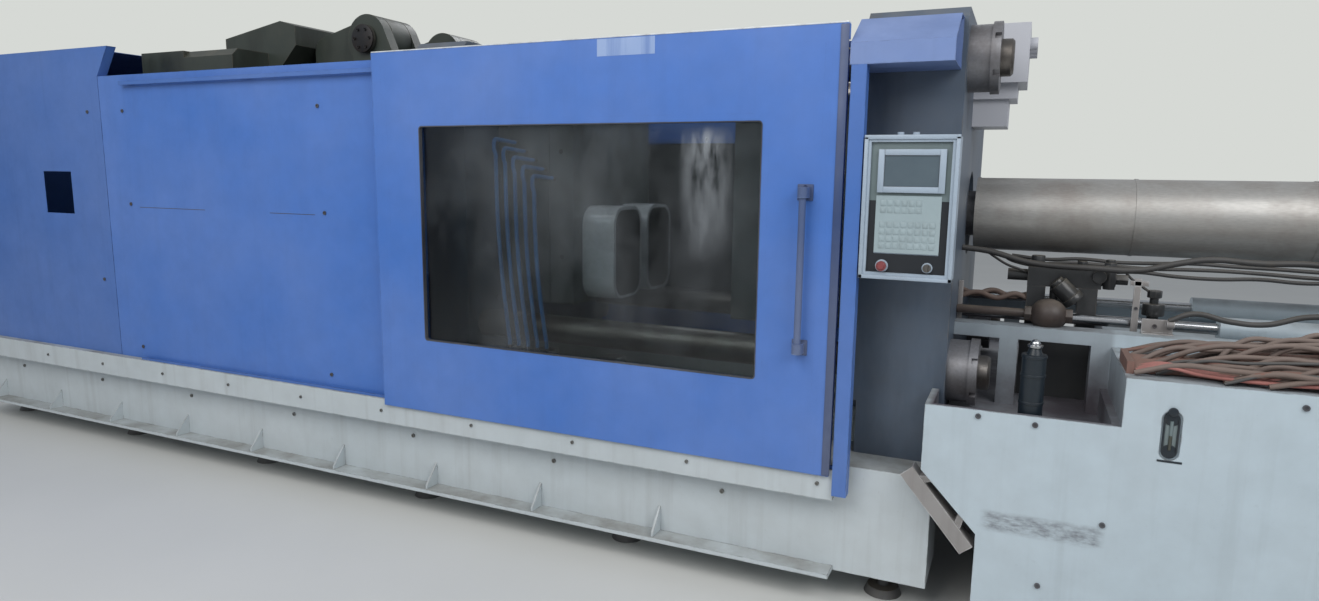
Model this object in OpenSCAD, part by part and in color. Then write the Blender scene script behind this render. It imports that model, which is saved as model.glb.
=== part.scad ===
// Injection moulding machine with a double toggle clamp.
// The origin is on the floor in the middle of the machine. X runs along the machine, with the
// injection side at +X. The operator stands at -Y. Z is up.

/* [Whole machine] */
// Length of the whole machine
machine_len = 11000; // [10900:10:11400]
// Width over the two sliding gates
machine_w = 2300; // [2280:5:2400]
// Height of the machine's centreline above the floor
centre_h = 1725; // [1705:5:1760]
// Height of the levelling feet, from the floor to the beds
foot_h = 140; // [100:5:160]
// From the tail end of the machine to the stationary platen's mould face
clamp_reach = 6620; // [6560:10:6700]

/* [Clamp bed] */
// Height of the clamp bed's top above the floor
bed_top = 640; // [600:5:645]
// Height of the outer rail strip
strip_h = 140; // [100:5:180]
// How far the strip stands back from the gate's outer face
strip_back = 15; // [13:1:20]
// Width of one hollow side frame of the bed
frame_w = 350; // [300:5:370]
// Plate thickness of the side frames
frame_t = 25; // [16:1:32]
// Width of the bottom lip outside the web
lip_w = 100; // [70:5:110]
// Thickness of the bottom lip
lip_t = 20; // [12:1:30]
// Height of the small gussets on the lip
gusset_h = 125; // [80:5:160]
// Length of one cross member along X
cross_len = 150; // [120:5:180]
// Height of the slideways above the bed top
way_h = 60; // [40:5:80]
// Width of one slideway
way_w = 90; // [70:5:110]

/* [Platens and tie bars] */
// Width of the platens
platen_w = 1700; // [1680:5:1740]
// Height of the platens
platen_h = 1760; // [1740:5:1780]
// Thickness of the stationary platen
stat_t = 410; // [380:5:440]
// Thickness of the moving platen
mov_t = 324; // [300:2:350]
// Thickness of the tail stock
tail_t = 450; // [420:5:480]
// Height of the tail stock
tail_h = 1860; // [1800:5:1880]
// Tie-bar spacing, both ways
tie_pitch = 1370; // [1360:2:1380]
// Tie-bar diameter
tie_d = 155; // [145:1:165]
// Radial running clearance of sliding and turning fits
run_gap = 0.08; // [0.05:0.01:0.1]
// Diameter of the nuts on the stationary platen
nut_d = 300; // [260:5:310]
// Length of those nuts
nut_len = 125; // [100:5:150]
// Edge chamfer of the platens
platen_edge = 14; // [6:1:20]
// Distance between the platens as stored, with the mould open
daylight = 2148; // [2130:2:2170]

/* [Toggle] */
// Length of the rear and the front toggle links, pin to pin
link_len = 830; // [820:2:840]
// Angle of the links with the mould open
open_angle = 65; // [64:0.5:66]
// Angle of the links with the mould closed
closed_angle = 3; // [2.5:0.5:4]
// Height of the toggle's fixed pins above and below the centreline
pin_rise = 235; // [230:1:240]
// Diameter of the toggle pins
pin_d = 120; // [100:2:130]
// Radius of the link eyes
eye_r = 150; // [140:2:154]
// From the moving platen's back to its toggle pins
mov_pin_out = 317; // [300:1:330]
// From the tail stock's front to its toggle pins
tail_pin_out = 430; // [400:5:450]
// Inner face of the rear link's arm, from the middle
arm_in = 280; // [275:1:290]
// Thickness of the rear link's arm
arm_t = 160; // [150:1:165]
// Thickness of the plates that straddle that arm
cheek_t = 70; // [60:1:75]
// Side clearance between links
side_gap = 5; // [3:0.5:6]
// Length of the cross links
cross_link_len = 330; // [320:2:340]
// Angle by which the cross pin leads the rear link
cross_lead = 20; // [18:0.5:22]
// Diameter of the crosshead's guide rods
guide_d = 70; // [60:1:76]

/* [Mould] */
// Width of the mould halves
mould_w = 1000; // [960:5:1040]
// Height of the mould halves
mould_h = 1150; // [1100:5:1170]
// Thickness of the moving mould half
mould_mov_t = 480; // [460:2:500]
// How far the cores stand out of the moving half
core_out = 210; // [180:5:230]
// Width of one core
core_w = 360; // [330:5:380]
// Height of one core
core_h = 540; // [500:5:560]
// Clearance of a core in its cavity, where the moulded wall forms
core_gap = 4; // [3:0.5:8]
// Clearance left between the closed mould faces
mould_gap = 1; // [0.5:0.1:2]

/* [Ejector] */
// Thickness of the ejector plate
ejector_t = 50; // [40:2:60]
// Stroke of the ejector
ejector_stroke = 110; // [90:5:120]
// Diameter of the ejector rods
ejector_rod_d = 44; // [36:1:50]

/* [Guards and gates] */
// Depth of a gate from its outer face to its inner edge
gate_t = 45; // [40:1:50]
// Sheet thickness of gates and guards
sheet = 3; // [2:0.5:4]
// Length of a gate
gate_len = 2490; // [2450:10:2520]
// Bottom of the gates above the floor
gate_z0 = 612; // [585:1:620]
// Top of the gates above the floor
gate_z1 = 2512; // [2490:2:2530]
// Width of the window opening
window_w = 1845; // [1800:5:1880]
// Bottom of the window opening above the floor
window_z0 = 1007; // [980:1:1030]
// Top of the window opening above the floor
window_z1 = 2134; // [2100:1:2160]
// Corner radius of the window opening
window_r = 18; // [10:1:40]
// Thickness of the window panes
pane_t = 8; // [6:1:10]
// How far the fixed guards stand back from the gate's outer face
guard_back = 60; // [58:1:70]
// Depth of the folded edges of the fixed guards
guard_fold = 60; // [40:5:80]
// Top of the fixed guard over the toggle
guard_z1 = 2487; // [2470:1:2500]
// Top of the tail guards
tail_guard_z1 = 2673; // [2650:1:2700]
// From the tail end to the end of the tail guard's top edge
tail_guard_top = 1858; // [1800:2:1900]
// Diameter of a gate roller
roller_d = 64; // [56:1:70]
// Width of the gate handle's brackets
handle_w = 44; // [36:1:50]
// Height of the gate handle
handle_h = 706; // [660:2:740]
// How far the gate handle stands out
handle_out = 70; // [60:1:90]

/* [Control box] */
// Width of the control box
panel_w = 358; // [340:1:380]
// Height of the control box
panel_h = 571; // [550:1:600]
// Depth of the control box
panel_d = 140; // [120:1:160]
// Bottom of the control box above the floor
panel_z0 = 1495; // [1470:1:1510]
// Width of the pale front frame
panel_rim = 24; // [18:1:30]
// Diameter of the stop button's cap
stop_d = 40; // [32:1:44]
// Travel of the stop button
stop_travel = 6; // [4:0.5:8]

/* [Injection bed] */
// From the stationary platen's mould face to the injection bed's end
inj_start = 360; // [350:2:380]
// Depth of the injection bed's low notch below the machine's centreline
notch_drop = 737; // [725:1:755]
// Length of the low notch
notch_len = 705; // [680:5:740]
// Depth of the injection bed's deck below the machine's centreline
deck_drop = 546; // [535:1:560]
// How far the bed's lower end stands back under its slanted face
foot_cut = 227; // [200:1:250]
// Plate thickness of the injection bed
inj_wall = 8; // [6:1:12]
// Height of the guide rails above the deck
rail_h = 60; // [50:5:70]
// Width of one guide rail
rail_w = 110; // [90:5:130]
// Distance of the guide rails from the middle
rail_y = 480; // [470:5:500]

/* [Injection unit] */
// Diameter of the barrel
barrel_d = 230; // [220:2:240]
// Diameter of the barrel cover
cover_d = 365; // [350:1:380]
// Wall of the barrel cover
cover_wall = 4; // [3:0.5:6]
// Length of the barrel cover
cover_len = 2040; // [1980:10:2060]
// Gap between the stationary platen and the barrel cover
cover_start = 33; // [28:1:60]
// Diameter of the screw
screw_d = 110; // [100:1:120]
// Thickness of the feed block's plate
feed_t = 350; // [320:5:380]
// Width and height of the feed block
feed_w = 720; // [680:5:760]
// Stroke of the screw
screw_stroke = 400; // [360:10:420]
// Diameter of the injection cylinders
inj_cyl_d = 210; // [190:2:230]
// Length of the injection cylinders
inj_cyl_len = 540; // [520:5:550]
// Diameter of the pull-in rods
pull_d = 50; // [40:1:56]
// Height of the hopper above the feed block
hopper_h = 900; // [850:10:950]
// Diameter of the hopper's round wall
hopper_d = 700; // [660:5:740]

/* [Hidden] */
$fn = 64;

// Main stations along X
x_tail_end = -machine_len / 2;
x_inj_end = machine_len / 2;
x_stat = x_tail_end + clamp_reach;
x_stat_back = x_stat + stat_t;
x_mov = x_stat - daylight;
x_mov_back = x_mov - mov_t;
x_pin_c = x_mov_back - mov_pin_out;
x_pin_b = x_pin_c - link_len * cos(open_angle);
x_pin_a = x_pin_b - link_len * cos(open_angle);
x_tail = x_pin_a - tail_pin_out;
x_tail_back = x_tail - tail_t;
x_bed_end = x_stat_back - 10;
post_gap = 3;
x_strip_end = x_stat - post_gap;
x_inj = x_stat + inj_start;
x_step = x_inj + notch_len;
x_foot = x_inj + foot_cut;
x_gate1 = x_stat - 20;
x_gate0 = x_gate1 - gate_len;

// Main stations across and up
y_gate = machine_w / 2;
y_guard = y_gate - guard_back;
y_strip = y_gate - strip_back;
y_web = y_gate - lip_w;
y_inner = y_web - frame_w;
y_platen = platen_w / 2;
y_inj = y_gate - 10;
notch_z = centre_h - notch_drop;
deck_z = centre_h - deck_drop;
z_plat0 = centre_h - platen_h / 2;
z_plat1 = centre_h + platen_h / 2;
z_way = bed_top + way_h;
seat_gap = 0.3;

// Toggle geometry: the rear and the front link are equally long, so the platen's pins stay level
z_pin = centre_h + pin_rise;
pin_a = [x_pin_a, z_pin];
pin_b = [x_pin_b, z_pin + link_len * sin(open_angle)];
pin_c = [x_pin_c, z_pin];
cross_angle = open_angle + cross_lead;
pin_k = [x_pin_a + 2 * cross_link_len * cos(cross_angle), z_pin];
pin_j = pin_a + cross_link_len * [cos(cross_angle), sin(cross_angle)];
platen_stroke = 2 * link_len * (cos(closed_angle) - cos(open_angle));
cross_closed = closed_angle + cross_lead;
crosshead_stroke = 2 * cross_link_len * (cos(cross_closed) - cos(cross_angle));
arm_out = arm_in + arm_t;
cheek_in0 = arm_in - side_gap - cheek_t;
cheek_in1 = arm_in - side_gap;
cheek_out0 = arm_out + side_gap;
cheek_out1 = arm_out + side_gap + cheek_t;
die_travel = 250;

// Mould: the fixed half takes what is left between the closed platens
mould_fix_t = daylight - platen_stroke - mould_mov_t - mould_gap;
core_y = 220;
core_r = 110;
core_edge = 25;
core_z = centre_h - mould_h / 2 + core_edge + core_h / 2;

// Colours
c_blue = [0.30, 0.45, 0.74];
c_white = [0.80, 0.84, 0.84];
c_sheet = [0.72, 0.78, 0.82];
c_iron = [0.30, 0.33, 0.37];
c_olive = [0.25, 0.27, 0.23];
c_steel = [0.62, 0.62, 0.62];
c_dark = [0.15, 0.16, 0.18];

// Basic shapes in this machine's directions
module block(lo, hi) {
  translate(lo) cube(hi - lo);
}

module bar_x(x0, x1, y, z, d) {
  translate([x0, y, z]) rotate([0, 90, 0]) cylinder(h = x1 - x0, d = d);
}

module bar_y(p, y0, y1, d) {
  translate([p[0], y0, p[1]]) rotate([-90, 0, 0]) cylinder(h = y1 - y0, d = d);
}

module bar_z(x, y, z0, z1, d) {
  translate([x, y, z0]) cylinder(h = z1 - z0, d = d);
}

module cone_x(x0, x1, y, z, d0, d1) {
  translate([x0, y, z]) rotate([0, 90, 0]) cylinder(h = x1 - x0, d1 = d0, d2 = d1);
}

// A side view outline in X and Z, made solid from y0 to y1
module side_view(y0, y1) {
  translate([0, y1, 0]) rotate([90, 0, 0]) linear_extrude(y1 - y0) children();
}

// An end view outline in Y and Z, made solid from x0 to x1
module end_view(x0, x1) {
  translate([x0, 0, 0]) rotate([90, 0, 90]) linear_extrude(x1 - x0) children();
}

module both_sides() {
  children();
  mirror([0, 1, 0]) children();
}

module at_tie_bars() {
  for (sy = [-1, 1], sz = [-1, 1])
    translate([0, sy * tie_pitch / 2, centre_h + sz * tie_pitch / 2]) children();
}

// Mirrors a shape about the machine's level centre plane
module lower() {
  translate([0, 0, 2 * centre_h]) mirror([0, 0, 1]) children();
}

// Two round eyes and the straight sides that touch both
module strap(p, q, rp, rq) {
  d = q - p;
  a = atan2(d[1], d[0]);
  b = acos((rp - rq) / norm(d));
  translate(p) circle(rp);
  translate(q) circle(rq);
  polygon([p + rp * [cos(a + b), sin(a + b)], p + rp * [cos(a - b), sin(a - b)],
           q + rq * [cos(a - b), sin(a - b)], q + rq * [cos(a + b), sin(a + b)]]);
}

module rounded(w, h, r) {
  translate([r, 0]) square([w - 2 * r, h]);
  translate([0, r]) square([w, h - 2 * r]);
  for (x = [r, w - r], y = [r, h - r]) translate([x, y]) circle(r);
}

// A rectangle with cut corners
module chamfered(w, h, c) {
  polygon([[c, 0], [w - c, 0], [w, c], [w, h - c], [w - c, h], [c, h], [0, h - c], [0, c]]);
}

// A hexagon nut along Z on the origin
module hex_nut(across, h) {
  cylinder(h = h, d = across / cos(30), $fn = 6);
}

// Clamp bed: two hollow side frames with an outer rail strip and a bottom lip, and cross members
cross_x = [x_tail_end, (x_tail_end + x_tail_back) / 2 - cross_len, x_tail_back - 60,
           x_pin_c + 130, x_mov + 60, x_stat + 40];
gusset_pitch = 230;

module side_frame() {
  difference() {
    block([x_tail_end, y_inner, foot_h], [x_bed_end, y_web, bed_top]);
    block([x_tail_end + frame_t, y_inner + frame_t, foot_h + frame_t],
          [x_bed_end - frame_t, y_web - frame_t, bed_top - frame_t]);
  }
  end_view(x_tail_end, x_strip_end) {
    translate([y_web, bed_top - strip_h]) square([y_strip - y_web, strip_h]);
    translate([y_web, foot_h]) square([lip_w, lip_t]);
  }
  for (x = [x_tail_end + gusset_pitch : gusset_pitch * 3 : x_strip_end - gusset_pitch])
    translate([x, 0, 0]) end_view(0, 12)
      polygon([[y_web, foot_h + lip_t], [y_gate - 12, foot_h + lip_t],
               [y_gate - 12, foot_h + lip_t + 20], [y_web, foot_h + lip_t + gusset_h]]);
  block([x_tail_back - die_travel - 150, y_platen - way_w - 60, bed_top],
        [x_stat - 150, y_platen - 60, z_way]);
}

module clamp_bed() {
  color(c_white) {
    both_sides() side_frame();
    for (x = cross_x)
      block([x, -y_inner, foot_h + 60], [x + cross_len, y_inner, bed_top - 60]);
  }
}

// Levelling feet: a pad, a stud and a nut under each bed
foot_pad_d = 170;
foot_pad_h = 35;

module foot() {
  cylinder(h = foot_pad_h, d1 = foot_pad_d, d2 = foot_pad_d - 30);
  cylinder(h = foot_h, d = 48);
  translate([0, 0, foot_h - 40]) hex_nut(75, 40);
}

module levelling_feet() {
  clamp_step = (x_bed_end - x_tail_end - 400) / 5;
  inj_step = (x_inj_end - x_foot - 400) / 3;
  color(c_dark) for (side = [-1, 1]) {
    for (i = [0 : 5])
      translate([x_tail_end + 200 + i * clamp_step, side * (y_web - frame_w / 2), 0]) foot();
    for (i = [0 : 3])
      translate([x_foot + 200 + i * inj_step, side * (y_inj - 130), 0]) foot();
  }
}

// Stationary platen: a cast block with a nozzle cone, mould bolt holes and bolted feet
nozzle_hole_d = 200;
nozzle_cone_d = 430;
mould_bolt_pitch = 1120;
mould_bolt_r = 12;
robot_bolt_pitch = 280;
platen_foot_w = 170;

module platen_block(x0, t, h) {
  translate([x0, 0, 0]) end_view(0, t)
    translate([-y_platen, centre_h - h / 2]) chamfered(platen_w, h, platen_edge * 3);
}

module tie_bores(x0, x1) {
  at_tie_bars() translate([x0, 0, 0]) rotate([0, 90, 0])
    cylinder(h = x1 - x0, d = tie_d + 2 * run_gap, $fn = 96);
}

module stationary_platen() {
  color(c_iron) difference() {
    union() {
      platen_block(x_stat, stat_t, platen_h);
      both_sides() block([x_stat + 30, y_platen - platen_foot_w, bed_top],
                         [x_bed_end - 20, y_platen, z_plat0 + 60]);
    }
    tie_bores(x_stat - 1, x_stat_back + 1);
    bar_x(x_stat - 1, x_stat_back + 1, 0, centre_h, nozzle_hole_d);
    cone_x(x_stat + 90, x_stat_back + 0.01, 0, centre_h, nozzle_hole_d, nozzle_cone_d);
    for (sy = [-1, 1], sz = [-1, 1])
      bar_x(x_stat - 1, x_stat + 60, sy * mould_bolt_pitch / 2,
            centre_h + sz * mould_bolt_pitch / 2, 2 * mould_bolt_r);
    for (sx = [-1, 1], sy = [-1, 1])
      bar_z(x_stat + stat_t / 2 + sx * robot_bolt_pitch / 2, sy * robot_bolt_pitch,
            z_plat1 - 50, z_plat1 + 1, 2 * mould_bolt_r);
  }
}

// Tie bars, held in the stationary platen and threaded at the tail end
tie_end = 120;

module tie_bars() {
  color(c_steel) at_tie_bars() {
    bar_x(x_tail_back - die_travel - 420, x_stat_back + nut_len + 40, 0, 0, tie_d);
    cone_x(x_stat_back + nut_len + 40, x_stat_back + nut_len + 50, 0, 0, tie_d, tie_d - 20);
  }
}

// Nuts on the injection side of the stationary platen: a round body, a ring and a row of spanner slots
module platen_nuts() {
  color(c_steel) at_tie_bars() difference() {
    union() {
      bar_x(x_stat_back, x_stat_back + nut_len, 0, 0, nut_d - 20);
      bar_x(x_stat_back + nut_len - 36, x_stat_back + nut_len, 0, 0, nut_d);
    }
    translate([x_stat_back - 1, 0, 0]) rotate([0, 90, 0])
      cylinder(h = nut_len + 2, d = tie_d + 2 * run_gap, $fn = 96);
    for (a = [0 : 60 : 300]) rotate([a, 0, 0])
      block([x_stat_back + nut_len - 25, -14, nut_d / 2 - 18], [x_stat_back + nut_len + 1, 14, nut_d]);
  }
}

// Fixed guards: one folded sheet each, with a return fold on every edge and upright stiffeners inside
guard_split = x_tail_end + tail_guard_top - 125;
guard_end = x_gate0 + 90;
hole_x = x_tail_end + 1051;
hole_w = 309;
hole_z = 1588;
hole_h = 285;

module folded_sheet(y0, fold, hole_x0, hole_z0, hole_w0, hole_h0) {
  difference() {
    side_view(y0, y0 + fold) children(0);
    side_view(y0 + sheet, y0 + fold + 1) children(1);
    if (hole_w0 > 0)
      block([hole_x0, y0 - 1, hole_z0], [hole_x0 + hole_w0, y0 + fold + 1, hole_z0 + hole_h0]);
  }
}

module toggle_guard() {
  folded_sheet(-y_guard, guard_fold, 0, 0, 0, 0) {
    translate([guard_split + 4, bed_top]) square([guard_end - guard_split - 4, guard_z1 - bed_top]);
    translate([guard_split + 4 + sheet, bed_top + sheet])
      square([guard_end - guard_split - 4 - 2 * sheet, guard_z1 - bed_top - 2 * sheet]);
  }
  for (x = [guard_split + 700, guard_split + 1500])
    block([x, -y_guard + sheet, bed_top + sheet], [x + 50, -y_guard + 40, guard_z1 - sheet]);
}

module tail_outline(t) {
  x0 = x_tail_end + 6 + t;
  x1 = guard_split - t;
  x2 = x_tail_end + tail_guard_top - t;
  polygon([[x0, bed_top + t], [x1, bed_top + t], [x1, guard_z1 - t / 2], [x2, tail_guard_z1 - t],
           [x0, tail_guard_z1 - t]]);
}

module tail_guard(with_hole) {
  folded_sheet(-y_guard, guard_fold, hole_x, hole_z, with_hole ? hole_w : 0, hole_h) {
    tail_outline(0);
    tail_outline(sheet);
  }
  for (x = [x_tail_end + 500, x_tail_end + 1420])
    block([x, -y_guard + sheet, bed_top + sheet], [x + 50, -y_guard + 40, tail_guard_z1 - sheet]);
}

module front_toggle_guard() { color(c_blue) toggle_guard(); }
module rear_toggle_guard() { color(c_blue) mirror([0, 1, 0]) toggle_guard(); }
module front_tail_guard() { color(c_blue) tail_guard(true); }
module rear_tail_guard() { color(c_blue) mirror([0, 1, 0]) tail_guard(false); }

// End cover: a folded sheet across the tail end, with a roof over the clamp cylinder
roof_end = x_tail_back - die_travel - 380;

module end_cover() {
  color(c_blue) difference() {
    block([x_tail_end, -y_guard + guard_fold, bed_top],
          [roof_end, y_guard - guard_fold, tail_guard_z1]);
    block([x_tail_end + sheet, -y_guard + guard_fold - 1, bed_top - 1],
          [roof_end + 1, y_guard - guard_fold + 1, tail_guard_z1 - sheet]);
    for (z = [bed_top + 300 : 90 : bed_top + 750])
      block([x_tail_end - 1, -400, z], [x_tail_end + sheet + 1, 400, z + 30]);
  }
}

// Gate posts and headers beside the stationary platen
post_w = 62;
post_z0 = 529;
header_z0 = centre_h + 623;
header_z1 = header_z0 + 86;
header_z2 = header_z0 + 209;
header_len = 400;

module gate_post() {
  difference() {
    block([x_strip_end, -y_gate, post_z0], [x_strip_end + post_w, -y_guard, header_z0]);
    block([x_strip_end + sheet, -y_gate + sheet, post_z0 - 1],
          [x_strip_end + post_w - sheet, -y_guard + 1, header_z0 - sheet]);
  }
}

module header() {
  end_view(x_stat - 10, x_stat - 10 + header_len) difference() {
    polygon([[-y_gate, header_z0], [-y_platen, header_z0], [-y_platen, header_z2],
             [-y_gate + 200, header_z2], [-y_gate, header_z1]]);
    polygon([[-y_gate + sheet, header_z0 + sheet], [-y_platen - sheet, header_z0 + sheet],
             [-y_platen - sheet, header_z2 - sheet], [-y_gate + 201, header_z2 - sheet],
             [-y_gate + sheet, header_z1 - sheet / 2]]);
  }
}

module front_header() { color(c_blue) header(); }
module rear_header() { color(c_blue) mirror([0, 1, 0]) header(); }
module front_gate_post() { color(c_blue) gate_post(); }
module rear_gate_post() { color(c_blue) mirror([0, 1, 0]) gate_post(); }

// Gate rails: a lower bar on the rail strip and an upper bar on brackets, on both sides
gate_travel = 2100;
rail_bar = 12;
low_rail_h = 14;
up_rail_z = 2420;
up_rail_h = 24;
y_rail = y_gate - 28;
rail_x0 = x_gate0 - gate_travel - 20;

module one_side_rails() {
  block([rail_x0, -y_rail, bed_top], [x_stat - 6, -y_rail + rail_bar, bed_top + low_rail_h]);
  block([rail_x0, -y_rail, up_rail_z], [x_stat - 10, -y_rail + rail_bar, up_rail_z + up_rail_h]);
  for (x = [rail_x0 + 60, (rail_x0 + guard_end) / 2, guard_end - 120])
    block([x, -y_rail + rail_bar, up_rail_z + 8], [x + 60, -y_guard, up_rail_z + up_rail_h - 8]);
}

module gate_rails() { color(c_steel) both_sides() one_side_rails(); }

// Gates: a folded sheet with a window opening and a stiffening frame behind it
win_x1 = x_gate1 - 345;
win_x0 = win_x1 - window_w;
frame_in = 30;

module window_outline(grow) {
  translate([win_x0 - grow, window_z0 - grow])
    rounded(window_w + 2 * grow, window_z1 - window_z0 + 2 * grow, window_r + grow);
}

shoe_h = 20;
notch_gap = 8;

// The edges are notched where the gate passes over its rails
module gate_panel() {
  y_in = -y_gate + gate_t;
  difference() {
    side_view(-y_gate, y_in)
      translate([x_gate0, gate_z0]) square([gate_len, gate_z1 - gate_z0]);
    side_view(-y_gate + sheet, y_in + 1) difference() {
      translate([x_gate0 + sheet, gate_z0 - 1]) square([gate_len - 2 * sheet, gate_z1 - gate_z0 + 1 - sheet]);
      difference() {
        window_outline(frame_in);
        window_outline(0);
      }
    }
    side_view(-y_gate - 1, -y_gate + sheet + 1) window_outline(0);
    block([x_gate0 - 1, -y_gate + sheet, gate_z0 - 1],
          [x_gate1 + 1, y_in + 1, bed_top + low_rail_h + notch_gap]);
    block([x_gate0 - 1, -y_rail - notch_gap, up_rail_z - notch_gap],
          [x_gate1 + 1, y_in + 1, up_rail_z + up_rail_h + notch_gap]);
  }
  for (x = [x_gate0 + 60, x_gate1 - 90]) {
    block([x, -y_gate + sheet, gate_z0 + 100], [x + 30, -y_gate + 12, up_rail_z + shoe_h]);
    block([x - 20, -y_gate + 11, up_rail_z + 2], [x + 50, -y_rail - seat_gap, up_rail_z + shoe_h]);
  }
}

module gate_pane() {
  side_view(-y_gate + gate_t - pane_t - 14, -y_gate + gate_t - 14) window_outline(0);
}

module gate_handle() {
  x = x_gate1 - 149;
  z0 = 1152;
  y_bar = -y_gate - handle_out + handle_w / 2;
  for (z = [z0, z0 + handle_h - handle_w])
    handle_bracket(x, z);
  translate([x, y_bar, z0 + 10]) cylinder(h = handle_h - 20, d = 30);
}

module handle_bracket(x, z) {
  translate([0, 0, z]) linear_extrude(handle_w) {
    translate([x - handle_w / 2, -y_gate - handle_out + handle_w / 2])
      square([handle_w, handle_out - handle_w / 2]);
    translate([x, -y_gate - handle_out + handle_w / 2]) circle(handle_w / 2);
  }
}

// Two rollers that run on the lower rail, on pins from the gate's lower edge
roller_z = bed_top + low_rail_h + seat_gap + roller_d / 2 - 3;

module gate_rollers() {
  for (x = [x_gate0 + 250, x_gate1 - 250]) {
    bar_y([x, roller_z], -y_rail - 4, -y_rail - seat_gap, roller_d);
    bar_y([x, roller_z], -y_rail - 1, -y_rail + rail_bar + 1, roller_d - 6);
    bar_y([x, roller_z], -y_rail + rail_bar + seat_gap, -y_rail + rail_bar + 4, roller_d);
    bar_y([x, roller_z], -y_gate + sheet, -y_rail - 4, 20);
  }
}

module front_gate_panel() { color(c_blue) gate_panel(); }
// The rear gate is one welded piece with its handle
module rear_gate_panel() {
  color(c_blue) mirror([0, 1, 0]) {
    gate_panel();
    gate_handle();
  }
}

module front_gate_pane() { color([0.2, 0.22, 0.24, 0.4]) gate_pane(); }
module rear_gate_pane() { color([0.2, 0.22, 0.24, 0.4]) mirror([0, 1, 0]) gate_pane(); }
module front_gate_handle() { color(c_blue) gate_handle(); }
module front_gate_rollers() { color(c_steel) gate_rollers(); }
module rear_gate_rollers() { color(c_steel) mirror([0, 1, 0]) gate_rollers(); }

// Tail stock: a ribbed casting with toggle lugs, tie-bar bores and shoes on the slideways
shoe_w = way_w + 20;

module lug_pair(p, root_x, y0, y1) {
  both_sides() side_view(y0, y1) difference() {
    union() {
      translate(p) circle(eye_r);
      polygon([[root_x, p[1] - eye_r], [p[0], p[1] - eye_r], [p[0], p[1] + eye_r], [root_x, p[1] + eye_r]]);
    }
    translate(p) circle(pin_d / 2 + run_gap);
  }
}

module shoes(x0, x1, z1) {
  both_sides() block([x0, y_platen - way_w - 70, z_way + seat_gap], [x1, y_platen - 50, z1]);
}

crown_x = x_tail_back + 60;
crown_front = x_pin_a - 179;
crown_half = (tie_pitch - tie_d) / 2 - 27;
crown_z = centre_h + tail_h / 2;
gear_cover_len = 415;
gear_cover_t = 6;
gear_cover_gap = 15;

// The raised middle of the casting, between the upper tie bars, that carries the upper toggle lugs
module tail_crown() {
  side_view(-crown_half, crown_half)
    polygon([[crown_x, crown_z - 50], [crown_x, crown_z + 110], [x_tail + 122, crown_z + 196],
             [crown_front, crown_z + 160], [crown_front, crown_z + 40], [x_tail - 1, crown_z - 200],
             [x_tail - 1, crown_z - 50]]);
}

// Cover over the die-height gear and its motor, open below and clear of the tie bars
module gear_cover() {
  x0 = x_tail_back - gear_cover_len;
  half = (tie_pitch + nut_d) / 2 + gear_cover_gap;
  z0 = centre_h + (tie_pitch + tie_d) / 2 + gear_cover_gap;
  z1 = centre_h + ring_r + (pinion_d + motor_d) / 2 + gear_cover_gap + gear_cover_t;
  difference() {
    block([x0, -half, z0], [x_tail_back + 1, half, z1]);
    block([x0 + gear_cover_t, -half + gear_cover_t, z0 - 1],
          [x_tail_back, half - gear_cover_t, z1 - gear_cover_t]);
  }
}

module tail_stock() {
  z0 = centre_h - tail_h / 2;
  color(c_olive) difference() {
    union() {
      platen_block(x_tail_back, tail_t, tail_h);
      for (p = [pin_a, [pin_a[0], 2 * centre_h - pin_a[1]]]) {
        lug_pair(p, x_tail - 1, cheek_in0, cheek_in1);
        lug_pair(p, x_tail - 1, cheek_out0, cheek_out1);
      }
      shoes(x_tail_back + 40, x_tail - 40, z0 + 50);
      tail_crown();
      gear_cover();
    }
    tie_bores(x_tail_back - 1, x_tail + 1);
    bar_x(x_tail_back - 1, x_tail + 1, 0, centre_h, 260);
    both_sides() side_view(y_platen - 120, y_platen + 1)
      for (z = [centre_h - 420, centre_h + 110])
        translate([x_tail_back + 90, z]) rounded(tail_t - 180, 310, 40);
    for (y = [-470, 170], z = [centre_h + 480, centre_h - 760])
      end_view(x_tail_back - 1, x_tail_back + 260) translate([y, z]) rounded(300, 280, 50);
  }
}

module tail_pins() {
  color(c_steel) both_sides() for (z = [pin_a[1], 2 * centre_h - pin_a[1]])
    bar_y([pin_a[0], z], cheek_in0 - 12, cheek_out1 + 12, pin_d);
}

// Clamp cylinder on the tail stock's back, with its end caps and tie studs
cyl_d = 300;
cyl_len = 760;
cyl_cap = cyl_d + 60;
stud_d = 44;
stud_nut = 24;
port_d = 70;

module clamp_cylinder() {
  x_end = x_tail_back - cyl_len;
  stud = cyl_cap / 2 - stud_d * 0.8;
  color(c_olive) difference() {
    union() {
      bar_x(x_end, x_tail_back, 0, centre_h, cyl_d);
      bar_x(x_tail_back - 70, x_tail_back, 0, centre_h, cyl_d + 170);
      end_view(x_end - 60, x_end + 60)
        translate([-cyl_cap / 2, centre_h - cyl_cap / 2]) rounded(cyl_cap, cyl_cap, 40);
      for (sy = [-1, 1], sz = [-1, 1]) {
        bar_x(x_end + 59, x_tail_back - 69, sy * stud, centre_h + sz * stud, stud_d);
        translate([x_end - 60, sy * stud, centre_h + sz * stud]) rotate([0, -90, 0])
          hex_nut(stud_d * 1.6, stud_nut);
      }
      bar_z(x_end + 10, 0, centre_h, centre_h + cyl_cap / 2 + 35, port_d);
      bar_z(x_tail_back - 170, 0, centre_h, centre_h + cyl_d / 2 + 50, port_d);
    }
    bar_x(x_end + 100, x_tail_back + 1, 0, centre_h, 95);
  }
}

// Guide rods of the crosshead
guide_y = 125;
guide_end = x_pin_a + 2 * cross_link_len * cos(cross_closed) + 110;

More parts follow.
